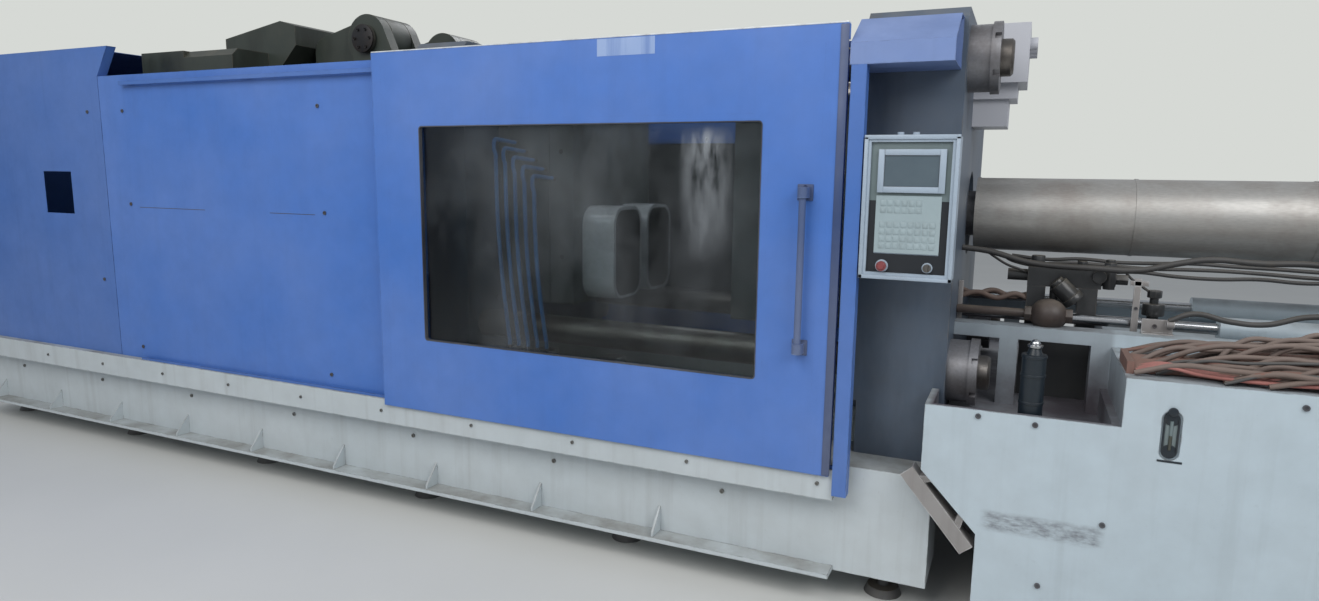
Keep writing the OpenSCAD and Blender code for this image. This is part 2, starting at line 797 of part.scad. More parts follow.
module guide_rods() {
  color(c_steel) both_sides() bar_x(x_tail, guide_end, guide_y, centre_h, guide_d);
}

// Die-height nuts behind the tail stock, each with a toothed rim
nut_teeth = 24;

module die_height_nuts() {
  color(c_steel) at_tie_bars() difference() {
    union() {
      bar_x(x_tail_back - 130, x_tail_back, 0, 0, nut_d - 40);
      translate([x_tail_back - 120, 0, 0]) rotate([90, 0, 90]) linear_extrude(50) {
        circle(nut_d / 2 - 10);
        for (i = [0 : nut_teeth - 1]) rotate(i * 360 / nut_teeth)
          translate([nut_d / 2 - 16, 0]) polygon([[0, -11], [18, -5], [18, 5], [0, 11]]);
      }
    }
    translate([x_tail_back - 140, 0, 0]) rotate([0, 90, 0])
      cylinder(h = 150, d = tie_d + 2 * run_gap, $fn = 96);
  }
}

// Die-height drive: a ring gear on rollers that meshes with the four nuts, and its motor on top
ring_r = tie_pitch / 2 * sqrt(2) - nut_d / 2 - 12;
pinion_d = 88;
motor_d = 120;

module die_height_drive() {
  color(c_steel) {
    translate([x_tail_back - 118, 0, centre_h]) rotate([90, 0, 90]) difference() {
      cylinder(h = 46, r = ring_r);
      translate([0, 0, -1]) cylinder(h = 48, r = ring_r - 60);
    }
    for (a = [0 : 45 : 315]) translate([x_tail_back, 0, centre_h]) rotate([a, 0, 0])
      bar_x(-124, 0, 0, ring_r - 60 - 30, 60);
    translate([x_tail_back, 0, centre_h + ring_r + pinion_d / 2 + seat_gap]) {
      block([-60, -70, -60], [0, 70, 60]);
      bar_x(-118, -59, 0, 0, pinion_d);
      bar_x(-132, -117, 0, 0, 50);
      bar_x(-340, -131, 0, 0, motor_d);
    }
  }
}

// Toggle links. The lower ones mirror the upper ones about the centre plane.
hump = pin_a + [-60, 700];
hump_r = 100;
tube = pin_a + [80, 590];
tube_r = 88;
cross_eye_r = 70;
cross_pin_d = 70;
cross_t = 110;

module rear_link() {
  difference() {
    union() {
      both_sides() side_view(arm_in, arm_out) {
        strap(pin_a, pin_b, eye_r, eye_r);
        strap(pin_b, hump, eye_r, hump_r);
        strap(pin_a, hump, eye_r, hump_r);
        polygon([pin_a, pin_b, hump]);
      }
      side_view(-arm_in, arm_in) translate(tube) circle(tube_r);
      both_sides() side_view(cross_t / 2 + side_gap, cross_t / 2 + side_gap + 55)
        strap(tube, pin_j, tube_r, cross_eye_r);
      bar_y(pin_j, -cross_t / 2 - side_gap - 58, cross_t / 2 + side_gap + 58, cross_pin_d);
    }
    bar_y(pin_a, -arm_out - 1, arm_out + 1, pin_d + 2 * run_gap);
    bar_y(pin_b, -arm_out - 1, arm_out + 1, pin_d + 2 * run_gap);
    both_sides() side_view(arm_out - 30, arm_out + 1)
      translate((pin_a + pin_b + hump) / 3) circle(120);
  }
}

module front_link() {
  mid = (pin_b + pin_c) / 2;
  difference() {
    both_sides() {
      side_view(cheek_in0, cheek_in1) strap(pin_b, pin_c, eye_r, eye_r - 10);
      side_view(cheek_out0, cheek_out1) strap(pin_b, pin_c, eye_r, eye_r - 10);
      side_view(cheek_in1 - 1, cheek_out0 + 1) translate(mid) circle(70);
    }
    bar_y(pin_b, -cheek_out1 - 1, cheek_out1 + 1, pin_d + 2 * run_gap);
    bar_y(pin_c, -cheek_out1 - 1, cheek_out1 + 1, pin_d + 2 * run_gap);
  }
}

module knuckle_pins() {
  both_sides() {
    bar_y(pin_b, cheek_in0 - 10, cheek_out1 + 10, pin_d);
    bar_y(pin_b, cheek_out1 + 10, cheek_out1 + 26, pin_d + 50);
  }
}

module cross_link() {
  difference() {
    side_view(-cross_t / 2, cross_t / 2) strap(pin_j, pin_k, cross_eye_r, cross_eye_r);
    bar_y(pin_j, -cross_t, cross_t, cross_pin_d + 2 * run_gap);
    bar_y(pin_k, -cross_t, cross_t, cross_pin_d + 2 * run_gap);
  }
}

module upper_rear_link() { color(c_olive) rear_link(); }
module lower_rear_link() { color(c_olive) lower() rear_link(); }
module upper_front_link() { color(c_olive) front_link(); }
module lower_front_link() { color(c_olive) lower() front_link(); }
module upper_knuckle_pins() { color(c_steel) knuckle_pins(); }
module lower_knuckle_pins() { color(c_steel) lower() knuckle_pins(); }
module upper_cross_link() { color(c_olive) cross_link(); }
module lower_cross_link() { color(c_olive) lower() cross_link(); }

// Crosshead: a block on the guide rods, with lugs and pins for the cross links and the piston rod
head_half = 60;

module crosshead() {
  z_low = 2 * centre_h - pin_k[1];
  color(c_olive) {
    difference() {
      union() {
        block([pin_k[0] - head_half, -185, centre_h - 90], [pin_k[0] + head_half, 185, centre_h + 90]);
        for (z = [pin_k[1], z_low])
          both_sides() side_view(cross_t / 2 + side_gap, cross_t / 2 + side_gap + 50)
            strap([pin_k[0], centre_h], [pin_k[0], z], head_half, 60);
      }
      both_sides() bar_x(pin_k[0] - 100, pin_k[0] + 100, guide_y, centre_h, guide_d + 2 * run_gap);
    }
    for (z = [pin_k[1], z_low])
      bar_y([pin_k[0], z], -cross_t / 2 - side_gap - 50, cross_t / 2 + side_gap + 50, cross_pin_d);
    bar_x(x_tail_back - cyl_len + 120, pin_k[0] - head_half + 1, 0, centre_h, 90);
  }
}

// Moving platen: a cast plate with toggle lugs on its back, bushed tie-bar bores and shoes
rib_out = 120;

module moving_platen() {
  z_low = 2 * centre_h - z_pin;
  color(c_iron) difference() {
    union() {
      platen_block(x_mov_back, mov_t, platen_h);
      for (z = [pin_c[1], 2 * centre_h - pin_c[1]])
        both_sides() side_view(arm_in + side_gap, arm_out - side_gap) {
          polygon([[x_mov_back + 1, z - eye_r - 50], [x_mov_back + 1, z + eye_r + 50],
                   [pin_c[0], z + eye_r - 20], [pin_c[0], z - eye_r + 20]]);
          translate([pin_c[0], z]) circle(eye_r - 20);
        }
      both_sides() side_view(arm_in + 3 * side_gap, arm_out - 3 * side_gap)
        polygon([[x_mov_back + 1, z_plat0 + 90], [x_mov_back - rib_out, z_low - eye_r + 30],
                 [x_mov_back - rib_out, z_pin + eye_r - 30], [x_mov_back + 1, z_plat1 - 90]]);
      shoes(x_mov_back - 60, x_mov - 30, z_plat0 + 50);
      at_tie_bars() bar_x(x_mov_back - 60, x_mov_back + 1, 0, 0, tie_d + 70);
      block([x_mov - 1, -hose_out - 30, water_bar_z],
            [hose_end(hose_count - 1) + 60, -hose_out + 30, water_bar_z + water_bar_h]);
      for (i = [0 : hose_count - 1])
        bar_z(hose_end(i), -hose_out, water_bar_z + water_bar_h - 1, hose_z_end, 2 * hose_r);
    }
    tie_bores(x_mov_back - 62, x_mov + 1);
    for (z = [pin_c[1], 2 * centre_h - pin_c[1]])
      bar_y([pin_c[0], z], -arm_out, arm_out, pin_d);
    ejector_holes(x_mov_back - 1, x_mov + 1);
    for (sy = [-1, 1], sz = [-1, 1])
      bar_x(x_mov - 60, x_mov + 1, sy * mould_bolt_pitch / 2, centre_h + sz * mould_bolt_pitch / 2,
            2 * mould_bolt_r);
  }
  color(c_steel) for (z = [pin_c[1], 2 * centre_h - pin_c[1]])
    both_sides() bar_y([pin_c[0], z], cheek_in0 - 10, cheek_out1 + 10, pin_d);
}

// Ejector: a plate behind the platen with four rods that run through it
ejector_y = 110;
ejector_z = 180;
ejector_half_y = 175;
ejector_half_z = 250;
x_eject = x_mov_back - ejector_stroke - 20;

module ejector_holes(x0, x1) {
  for (sy = [-1, 1], sz = [-1, 1])
    bar_x(x0, x1, sy * ejector_y, centre_h + sz * ejector_z, ejector_rod_d + 2 * run_gap);
}

module ejector() {
  color(c_steel) {
    end_view(x_eject - ejector_t, x_eject)
      translate([-ejector_half_y, centre_h - ejector_half_z])
        rounded(2 * ejector_half_y, 2 * ejector_half_z, 30);
    for (sy = [-1, 1], sz = [-1, 1])
      bar_x(x_eject - 1, x_mov - 10, sy * ejector_y, centre_h + sz * ejector_z, ejector_rod_d);
  }
}

// Mould halves: the cores of the moving half enter the cavities of the fixed half
module core_outline(grow) {
  translate([-core_w / 2 - grow, -core_h / 2 - grow])
    rounded(core_w + 2 * grow, core_h + 2 * grow, core_r + grow);
}

module cores(grow, x0, x1) {
  for (sy = [-1, 1]) translate([0, sy * core_y, core_z]) end_view(x0, x1) core_outline(grow);
}

module mould_plate(x0, x1) {
  end_view(x0, x1) translate([-mould_w / 2, centre_h - mould_h / 2]) chamfered(mould_w, mould_h, 8);
}

module moving_mould() {
  x1 = x_mov + mould_mov_t;
  color(c_steel) difference() {
    union() {
      end_view(x_mov, x_mov + 60)
        translate([-mould_w / 2 - 30, centre_h - mould_h / 2]) square([mould_w + 60, mould_h]);
      mould_plate(x_mov + 59, x1 - 160);
      mould_plate(x1 - 156, x1);
      end_view(x1 - 161, x1 - 155)
        translate([-mould_w / 2 + 12, centre_h - mould_h / 2 + 12]) square([mould_w - 24, mould_h - 24]);
      cores(0, x1 - 1, x1 + core_out);
      for (i = [0 : hose_count - 1])
        bar_y([hose_x(i), hose_z(i)], hose_y, -mould_w / 2 + 1, 2 * hose_r);
    }
    for (sy = [-1, 1], sz = [-1, 1])
      bar_x(x_mov - 1, x_mov + ejector_stroke + 20, sy * ejector_y, centre_h + sz * ejector_z,
            ejector_rod_d + 12);
    for (z = [centre_h - 300, centre_h + 300])
      side_view(-mould_w / 2 - 1, -mould_w / 2 + 60) translate([x1 - 80, z]) circle(14);
  }
}

module fixed_mould() {
  x0 = x_stat - mould_fix_t;
  color(c_steel) difference() {
    union() {
      end_view(x_stat - 60, x_stat)
        translate([-mould_w / 2 - 30, centre_h - mould_h / 2]) square([mould_w + 60, mould_h]);
      mould_plate(x0, x_stat - 59);
    }
    cores(core_gap, x0 - 1, x0 + core_out + core_gap);
    bar_x(x_stat - 70, x_stat + 1, 0, centre_h, 120);
    cone_x(x_stat - 160, x_stat - 69, 0, centre_h, 16, 40);
  }
}

// Cooling hoses of the moving half: each runs from a nipple on its operator side, over and down past the
// tie bar, to a nipple on the water bar of the moving platen
hose_count = 5;
hose_r = 11;
hose_sides = 8;
hose_rings = 9;
hose_y = -mould_w / 2 - 30;
hose_out = tie_pitch / 2 + tie_d / 2 + 42;
water_bar_z = centre_h - platen_h / 2 + 28;
water_bar_h = 60;
nipple_h = 18;

function hose_x(i) = x_mov + 110 + i * 62;
function hose_z(i) = centre_h + 350 - 50 * i;
function hose_end(i) = x_mov + 245 + i * 60;
hose_z_end = water_bar_z + water_bar_h + nipple_h;

// The hose leaves its upper nipple level, bends through a quarter turn and runs down
function hose_route(i) = let (x0 = hose_x(i), x1 = hose_end(i), z0 = hose_z(i), r = 90, lean = (x1 - x0) * 0.45)
  concat([[x0, hose_y, z0], [x0, hose_y - 25, z0]],
         [for (a = [0 : 22.5 : 90])
           [x0 + lean * a / 90, -hose_out + r - r * sin(a) , z0 + 12 - r + r * cos(a)]],
         [for (k = [1 : hose_rings]) let (t = k / hose_rings)
           [x0 + lean + (x1 - x0 - lean) * t - 14 * sin(180 * t), -hose_out - 9 * sin(180 * t),
            z0 + 12 - r + (hose_z_end + 25 - z0 - 12 + r) * t]],
         [[x1, -hose_out, hose_z_end]]);

// A tube of n sides swept along a list of points; side is a direction the route never takes
module swept_tube(pts, r, n, side) {
  last = len(pts) - 1;
  function along(i) = pts[min(i + 1, last)] - pts[max(i - 1, 0)];
  function across(v) = let (c = cross(v, side)) c / norm(c);
  rings = [for (i = [0 : last])
    let (v = along(i) / norm(along(i)), u = across(v), w = cross(v, u))
      for (k = [0 : n - 1]) pts[i] + r * (cos(360 * k / n) * u + sin(360 * k / n) * w)];
  polyhedron(
    points = rings,
    faces = concat(
      [[for (k = [0 : n - 1]) k]],
      [[for (k = [n - 1 : -1 : 0]) last * n + k]],
      [for (i = [0 : last - 1], k = [0 : n - 1])
        [i * n + k, (i + 1) * n + k, (i + 1) * n + (k + 1) % n, i * n + (k + 1) % n]]));
}

module mould_hoses() {
  color([0.15, 0.4, 0.75]) for (i = [0 : hose_count - 1])
    swept_tube(hose_route(i), hose_r, hose_sides, [1, 0, 0]);
}

// Control box on a bracket beside the stationary platen
panel_x0 = x_stat + 69;
panel_z1 = panel_z0 + panel_h;
panel_y = -y_gate;
rim_d = 12;
button_x = panel_x0 + 87;
knob_x = panel_x0 + panel_w - 93;
button_z = panel_z0 + 50;
screen_h = 148;
screen_z0 = panel_z1 - 64 - screen_h;
screen_x0 = panel_x0 + 66;
screen_w = panel_w - 122;
keys_x0 = panel_x0 + 52;
keys_x1 = panel_x0 + panel_w - 53;
keys_z0 = panel_z0 + 104;
keys_z1 = screen_z0 - 24;
key_sheet_t = 5;

module control_box() {
  color(c_sheet) difference() {
    union() {
      block([panel_x0, panel_y, panel_z0], [panel_x0 + panel_w, panel_y + panel_d, panel_z1]);
      block([panel_x0 + 80, panel_y + panel_d - 1, panel_z0 + 160],
            [panel_x0 + 250, -y_platen, panel_z0 + 380]);
      for (x = [panel_x0 + 130, panel_x0 + 190])
        bar_z(x, panel_y + 40, panel_z1 - 1, panel_z1 + 16, 26);
    }
    block([panel_x0 + panel_rim, panel_y - 1, panel_z0 + panel_rim],
          [panel_x0 + panel_w - panel_rim, panel_y + rim_d, panel_z1 - panel_rim]);
    for (x = [button_x, knob_x])
      bar_y([x, button_z], panel_y, panel_y + 60, 18 + 2 * run_gap);
  }
}

module control_screen() {
  color(c_dark) {
    difference() {
      block([screen_x0, panel_y + 2, screen_z0], [screen_x0 + screen_w, panel_y + rim_d, screen_z0 + screen_h]);
      block([screen_x0 + 14, panel_y, screen_z0 + 14],
            [screen_x0 + screen_w - 14, panel_y + 7, screen_z0 + screen_h - 14]);
    }
  }
}

module control_keypad() {
  color([0.6, 0.66, 0.68])
    block([keys_x0, panel_y + rim_d - key_sheet_t, keys_z0], [keys_x1, panel_y + rim_d, keys_z1]);
}

module stop_button() {
  color([0.45, 0.25, 0.28]) {
    bar_y([button_x, button_z], panel_y - 13, panel_y + 50, 18);
    bar_y([button_x, button_z], panel_y - 14, panel_y + rim_d - stop_travel - 0.5, stop_d);
  }
}

module selector_knob() {
  color(c_steel) {
    bar_y([knob_x, button_z], panel_y + 2, panel_y + 40, 18);
    bar_y([knob_x, button_z], panel_y - 6, panel_y + rim_d - 0.5, 32);
    block([knob_x - 5, panel_y - 16, button_z - 15], [knob_x + 5, panel_y - 5, button_z + 15]);
  }
}

// Injection bed: a sheet-clad frame with a low notch, a slanted end, a deck and rail beams
slant_z1 = notch_z - 281;
slant_z0 = notch_z - 520;
gauge_x = x_inj + 864;
gauge_z = deck_z - 201;

module inj_outline(t) {
  s = t * sqrt(2);
  polygon([[x_inj + t, notch_z - t], [x_step + t, notch_z - t], [x_step + t, deck_z - t],
           [x_inj_end - t, deck_z - t], [x_inj_end - t, foot_h + t],
           [x_foot + t, foot_h + t], [x_foot + t, slant_z0 + s / 3],
           [x_inj + t, slant_z1 + s / 3]]);
}

nut_room = 20;
tray_z = centre_h - (tie_pitch + nut_d) / 2 - nut_room;
tray_x = 30;
rail_leg = 80;
recess_y = 862;

// What is kept free behind the platen, and the sunk floor of the notch
module bed_recess(grow) {
  block([x_inj - 1, -recess_y - grow, 0], [x_stat_back + 8 + grow, recess_y + grow, deck_z]);
  block([x_inj + tray_x - grow, -y_inj + inj_wall, tray_z - grow],
        [x_step - tray_x + grow, y_inj - inj_wall, notch_z + 1]);
}

module injection_bed() {
  color(c_sheet) {
    difference() {
      union() {
        difference() {
          side_view(-y_inj, y_inj) inj_outline(0);
          difference() {
            side_view(-y_inj + inj_wall, y_inj - inj_wall) inj_outline(inj_wall);
            bed_recess(inj_wall);
          }
          bed_recess(0);
        }
        side_view(-y_inj + 1, -y_inj + inj_wall + 14) gauge_outline(12);
        both_sides() block([x_inj + tray_x - 1, -y_inj + inj_wall - 1, notch_z - 6],
                           [x_step - tray_x + 1, -y_inj + inj_wall + 20, notch_z]);
      }
      side_view(-y_inj - 1, -y_inj + inj_wall + 4) gauge_outline(0);
    }
    for (side = [-1, 1]) {
      for (x = [x_stat_back + 200, x_step + 1 - rail_leg])
        block([x, side * rail_y - rail_w / 2, tray_z - 3],
              [x + rail_leg, side * rail_y + rail_w / 2, deck_z + 1]);
      block([x_stat_back, side * rail_y - rail_w / 2, deck_z - 1],
            [x_inj_end - 120, side * rail_y + rail_w / 2, deck_z + rail_h]);
    }
  }
}

module gauge_outline(grow) {
  strap([gauge_x, gauge_z - 62], [gauge_x, gauge_z + 62], 33 + grow, 33 + grow);
}

// Deflector: a folded channel on two brackets that leans along the bed's slanted end
function on_slant(t) = [x_inj + t * foot_cut, slant_z1 + t * (slant_z0 - slant_z1)];

module deflector() {
  p = [x_inj - 34, slant_z1 + 4];
  q = [x_foot - 6, slant_z0 - 60];
  u = (q - p) / norm(q - p);
  n = [-u[1], u[0]];
  color(c_sheet) {
    side_view(-y_inj + 4, -y_inj + 10) polygon([p, q, q - 64 * n, p - 64 * n]);
    side_view(-y_inj + 4, -y_inj + 84) polygon([p, q, q - 5 * n, p - 5 * n]);
    for (t = [0.12, 0.7])
      side_view(-y_inj + 14, -y_inj + 54)
        polygon([on_slant(t), on_slant(t + 0.09), p + (t + 0.09) * (q - p) - n, p + t * (q - p) - n]);
  }
}

// Lubricator: a round oil pot with a domed cap on a shelf
module lubricator() {
  x = x_inj + 392;
  y = -y_inj + 84;
  color(c_dark) {
    block([x - 60, y - 50, tray_z], [x + 60, y + 60, tray_z + 12]);
    bar_z(x, y, tray_z + 11, notch_z + 232, 90);
    translate([x, y, notch_z + 231]) cylinder(h = 34, d1 = 60, d2 = 36);
  }
}

// Stepped manifold on the platen's injection face, and the valves with their pipes under the barrel
valve_y = -228;
valve_x = x_inj + 335;
valve_end = x_step - tray_x - 12;
valve_ball_x = x_inj + 470;
valve_ball_d = 140;
valve_ball_z = deck_z + 76;
valve_block_z = deck_z - 38;
manifold_x = x_stat_back;
manifold_z0 = centre_h + 424;
manifold_z1 = centre_h + 885;
manifold_y0 = -340;
manifold_y1 = 60;
manifold_step = 20;

module valve_stack() {
  color(c_dark) {
    block([manifold_x, manifold_y0, manifold_z1 - 265], [manifold_x + 229, manifold_y1, manifold_z1]);
    block([manifold_x, manifold_y0 + 2 * manifold_step, manifold_z1 - 335],
          [manifold_x + 190, manifold_y1 - 2 * manifold_step, manifold_z1 - 264]);
    block([manifold_x, manifold_y0 + 3 * manifold_step, manifold_z0],
          [manifold_x + 155, manifold_y1 - 3 * manifold_step, manifold_z1 - 334]);
    for (k = [0 : 2])
      bar_x(manifold_x + 228, manifold_x + 262, manifold_y0 + 70 + 130 * k, manifold_z1 - 90, 60);
    block([valve_x, valve_y - 65, tray_z], [valve_end, valve_y + 65, valve_block_z]);
    bar_z(valve_ball_x, valve_y, valve_block_z - 1, valve_ball_z - 55, 60);
    translate([valve_ball_x, valve_y, valve_ball_z]) sphere(d = valve_ball_d);
    bar_z(valve_ball_x, valve_y, valve_ball_z + 55, valve_ball_z + 185, 40);
    for (x = [valve_x + 15, valve_x + 235])
      block([x, valve_y - 60, valve_block_z - 1], [x + 80, valve_y + 60, valve_ball_z + 145]);
    block([valve_x + 14, valve_y - 50, valve_ball_z + 144], [valve_end, valve_y + 50, valve_ball_z + 235]);
    bar_x(valve_end - 1, valve_end + 60, valve_y, valve_ball_z + 190, 70);
    bar_x(valve_x - 75, valve_x + 15, valve_y, valve_ball_z + 190, 56);
  }
}

// Bundle of heater and sensor cables that lies on the deck, side by side, between two gland blocks
bundle_route = [[30, 0], [80, 0], [190, 22], [340, -14], [520, 26], [760, 0], [1010, 34], [1270, 10],
                [1480, 22], [1640, 62], [1740, 140], [1770, 220], [1770, 280]];
bundle_y = -930;
bundle_pitch = 42;
cable_r = 17;
cable_count = 6;
gland_h = 48;

module cable_bundle() {
  last = len(bundle_route) - 1;
  function heading(k) = let (v = bundle_route[min(k + 1, last)] - bundle_route[max(k - 1, 0)]) v / norm(v);
  y_end = bundle_y + bundle_route[last][1];
  x_turn = x_step + bundle_route[last][0];
  half = bundle_pitch * (cable_count - 1) / 2 + cable_r + 8;
  color([0.42, 0.33, 0.3]) {
    for (i = [0 : cable_count - 1])
      swept_tube([for (k = [0 : last])
        let (h = heading(k), d = bundle_pitch * (i - (cable_count - 1) / 2), r = bundle_route[k])
          [x_step + r[0] - h[1] * d, bundle_y + r[1] + h[0] * d, deck_z + cable_r + 1]], cable_r, 8, [0, 0, 1]);
    block([x_step + 6, bundle_y - half, deck_z],
          [x_step + bundle_route[0][0] - seat_gap, bundle_y + half, deck_z + gland_h]);
    block([x_turn - half, y_end + seat_gap, deck_z], [x_turn + half, y_end + 90, deck_z + gland_h]);
  }
}

// Rods that pull the carriage to the platen
pull_y = 330;
pull_z = deck_z + 83;

module pull_in_rods() {
  color(c_steel) both_sides() bar_x(x_stat_back, x_feed - pull_cyl_back - 120, pull_y, pull_z, pull_d);
}

// Barrel with its nozzle and heater bands
x_cover = x_stat_back + cover_start;
x_feed = x_cover + cover_len;
x_feed_end = x_feed + feed_t;
band_d = 300;

module barrel() {
  color(c_steel) difference() {
    union() {
      bar_x(x_stat + 190, x_feed_end, 0, centre_h, barrel_d);
      cone_x(x_stat + 60, x_stat + 190.5, 0, centre_h, 90, 190);
      bar_x(x_stat + 30, x_stat + 60.5, 0, centre_h, 90);
      cone_x(x_stat + 4, x_stat + 30.5, 0, centre_h, 40, 90);
      for (i = [0 : 6])
        bar_x(x_cover + 60 + i * 270, x_cover + 300 + i * 270, 0, centre_h, band_d);
    }
    bar_x(x_stat + 130, x_feed_end + 1, 0, centre_h, screw_d + 8);
    bar_x(x_stat + 3, x_stat + 131, 0, centre_h, 14);
    bar_z(x_feed + feed_t / 2, 0, centre_h, centre_h + barrel_d, feed_hole_d);
  }
}

module barrel_cover() {
  color(c_steel) difference() {
    union() {
      bar_x(x_cover, x_feed, 0, centre_h, cover_d);
      for (x = [x_cover, x_cover + 700, x_cover + 1400])
        bar_x(x, x + 14, 0, centre_h, cover_d + 6);
    }
    bar_x(x_cover + 6, x_feed + 1, 0, centre_h, cover_d - 2 * cover_wall);
    bar_x(x_cover - 1, x_cover + 7, 0, centre_h, barrel_d + 1);
  }
}

// Carriage: feed block, injection cylinders, base frame with shoes, and the pull-in cylinders
cyl_y = 260;
base_front = 400;
base_rear = 360;
base_t = 70;
base_half_w = 90;
beam_w = 150;
pull_cyl_d = 110;
pull_cyl_len = 800;
pull_cyl_back = 200;
neck_d = 260;
neck_h = 60;
feed_hole_d = 120;
x_drive = x_feed_end + inj_cyl_len + 20;
carriage_z = deck_z + rail_h + seat_gap;
feed_z0 = centre_h - feed_w / 2;
feed_z1 = centre_h + feed_w / 2;

module carriage() {
  x_pull = x_feed - pull_cyl_back;
  color(c_sheet) difference() {
    union() {
      end_view(x_feed, x_feed_end) translate([-feed_w / 2, feed_z0]) rounded(feed_w, feed_w, 60);
      both_sides() bar_x(x_feed_end - 1, x_feed_end + inj_cyl_len, cyl_y, centre_h, inj_cyl_d);
      both_sides() block([x_feed - base_front, rail_y - base_half_w, carriage_z],
                         [x_drive + base_rear, rail_y + base_half_w, carriage_z + base_t]);
      for (x = [x_feed - base_front + 100, x_feed + 100, x_drive + base_rear - beam_w - 10])
        block([x, -rail_y - base_half_w, carriage_z + 10],
              [x + beam_w, rail_y + base_half_w, carriage_z + base_t - 1]);
      block([x_feed + 40, -feed_w / 2 + 110, carriage_z + base_t - 10],
            [x_feed_end - 40, feed_w / 2 - 110, feed_z0 + 30]);
      both_sides() bar_x(x_pull - pull_cyl_len, x_pull, pull_y, pull_z, pull_cyl_d);
      both_sides() block([x_pull - 100, pull_y - 40, pull_z - 20], [x_pull, pull_y + 40, carriage_z + 30]);
      bar_z(x_feed + feed_t / 2, 0, feed_z1 - 1, feed_z1 + neck_h, neck_d);
    }
    bar_x(x_feed - 1, x_feed_end + 1, 0, centre_h, barrel_d + 0.2);
    both_sides() bar_x(x_feed_end + 60, x_feed_end + inj_cyl_len + 1, cyl_y, centre_h, inj_rod_d + 2 * run_gap);
    both_sides() bar_x(x_pull - pull_cyl_len - 1, x_pull - 60, pull_y, pull_z, pull_d + 2 * run_gap);
    bar_z(x_feed + feed_t / 2, 0, centre_h, feed_z1 + neck_h + 1, feed_hole_d);
  }
}

// Screw drive: the plate that the injection rods push and pull, and the screw motor behind it
inj_rod_d = 80;
drive_t = 130;
drive_h = 380;
motor_len = 300;
screw_motor_d = 330;

module screw_drive() {
  x_motor = x_drive + drive_t;
  color(c_iron) difference() {
    union() {
      end_view(x_drive, x_motor) translate([-feed_w / 2 + 20, centre_h - drive_h / 2])
        rounded(feed_w - 40, drive_h, 60);
      both_sides() bar_x(x_feed_end + 80, x_drive + 1, cyl_y, centre_h, inj_rod_d);
      bar_x(x_motor - 1, x_motor + 40, 0, centre_h, screw_motor_d + 40);
      bar_x(x_motor + 39, x_motor + motor_len, 0, centre_h, screw_motor_d);
      bar_x(x_motor + motor_len - 1, x_motor + motor_len + 40, 0, centre_h, screw_motor_d - 90);
      both_sides() bar_y([x_motor + motor_len - 70, centre_h + 40], screw_motor_d / 2 - 5,
                         screw_motor_d / 2 + 35, 60);
    }
    bar_x(x_drive - 1, x_drive + motor_len, 0, centre_h, screw_d + 2 * run_gap);
  }
}

// Screw: a shank, and a flight along the barrel made as rings on a core
module screw() {
  x0 = x_stat + 140;
  x1 = x_drive + 290;
  color(c_steel) {
    cone_x(x0, x0 + 90, 0, centre_h, 30, screw_d * 0.7);
    bar_x(x0 + 89, x_feed_end, 0, centre_h, screw_d * 0.7);
    bar_x(x_feed_end - 40, x1, 0, centre_h, screw_d);
    for (x = [x0 + 120 : screw_d : x_feed_end - 60]) bar_x(x, x + 14, 0, centre_h, screw_d);
  }
}

// Hopper on the feed block: a cone, a round wall and the hinge lugs of its lid
hinge_x = hopper_d / 2 + 28;
hinge_up = 6;
hinge_r = 7;
hinge_y = 32;

module hopper() {
  hx = x_feed + feed_t / 2;
  z0 = feed_z1 + neck_h;
  translate([hx, 0, z0]) color(c_sheet) difference() {
    union() {
      cylinder(h = 20, d = 260);
      translate([0, 0, 19]) cylinder(h = 330, d1 = 150, d2 = hopper_d);
      translate([0, 0, 348]) cylinder(h = hopper_h - 348, d = hopper_d);
    }
    translate([0, 0, -1]) cylinder(h = 21, d = 120);
    translate([0, 0, 19.9]) cylinder(h = 328, d1 = 120, d2 = hopper_d - 6);
    translate([0, 0, 347]) cylinder(h = hopper_h, d = hopper_d - 6);
  }
  translate([hx, 0, z0 + hopper_h]) color(c_sheet) {
    both_sides() side_view(hinge_y, hinge_y + 30) {
      translate([hinge_x, hinge_up]) circle(hinge_r);
      translate([hinge_x - 12, -60]) square([12 + hinge_r, 60 + hinge_up]);
      translate([hopper_d / 2 - 6, -60]) square([hinge_x - hopper_d / 2, 56]);
    }
    bar_y([hinge_x, hinge_up], -hinge_y - 1, hinge_y + 1, 6);
  }
}

lid_t = 4;
lid_rim = 30;

// Hopper lid: a shallow dished cap with a grip, hinged on a lug at the rear of the hopper
module hopper_lid() {
  hx = x_feed + feed_t / 2;
  z1 = feed_z1 + neck_h + hopper_h;
  translate([hx, 0, z1 + seat_gap]) color(c_sheet) {
    difference() {
      translate([0, 0, -lid_rim]) cylinder(h = lid_rim + lid_t, d = hopper_d + 16);
      translate([0, 0, -lid_rim - 1]) cylinder(h = lid_rim + 1, d = hopper_d + 8);
      block([hopper_d / 2 - 150, -hopper_d, -lid_rim - 1], [hopper_d, hopper_d, 0]);
    }
    side_view(-hinge_y + 1, hinge_y - 1) difference() {
      union() {
        translate([hinge_x, hinge_up - seat_gap]) circle(hinge_r);
        translate([hopper_d / 2 - 20, 0]) square([hinge_x - hopper_d / 2 + 20, lid_t]);
      }
      translate([hinge_x, hinge_up - seat_gap]) circle(3 + run_gap);
    }
    translate([0, 0, lid_t - 1]) cylinder(h = 22, d = 40);
    translate([0, 0, lid_t + 20]) cylinder(h = 12, d = 64);
  }
}

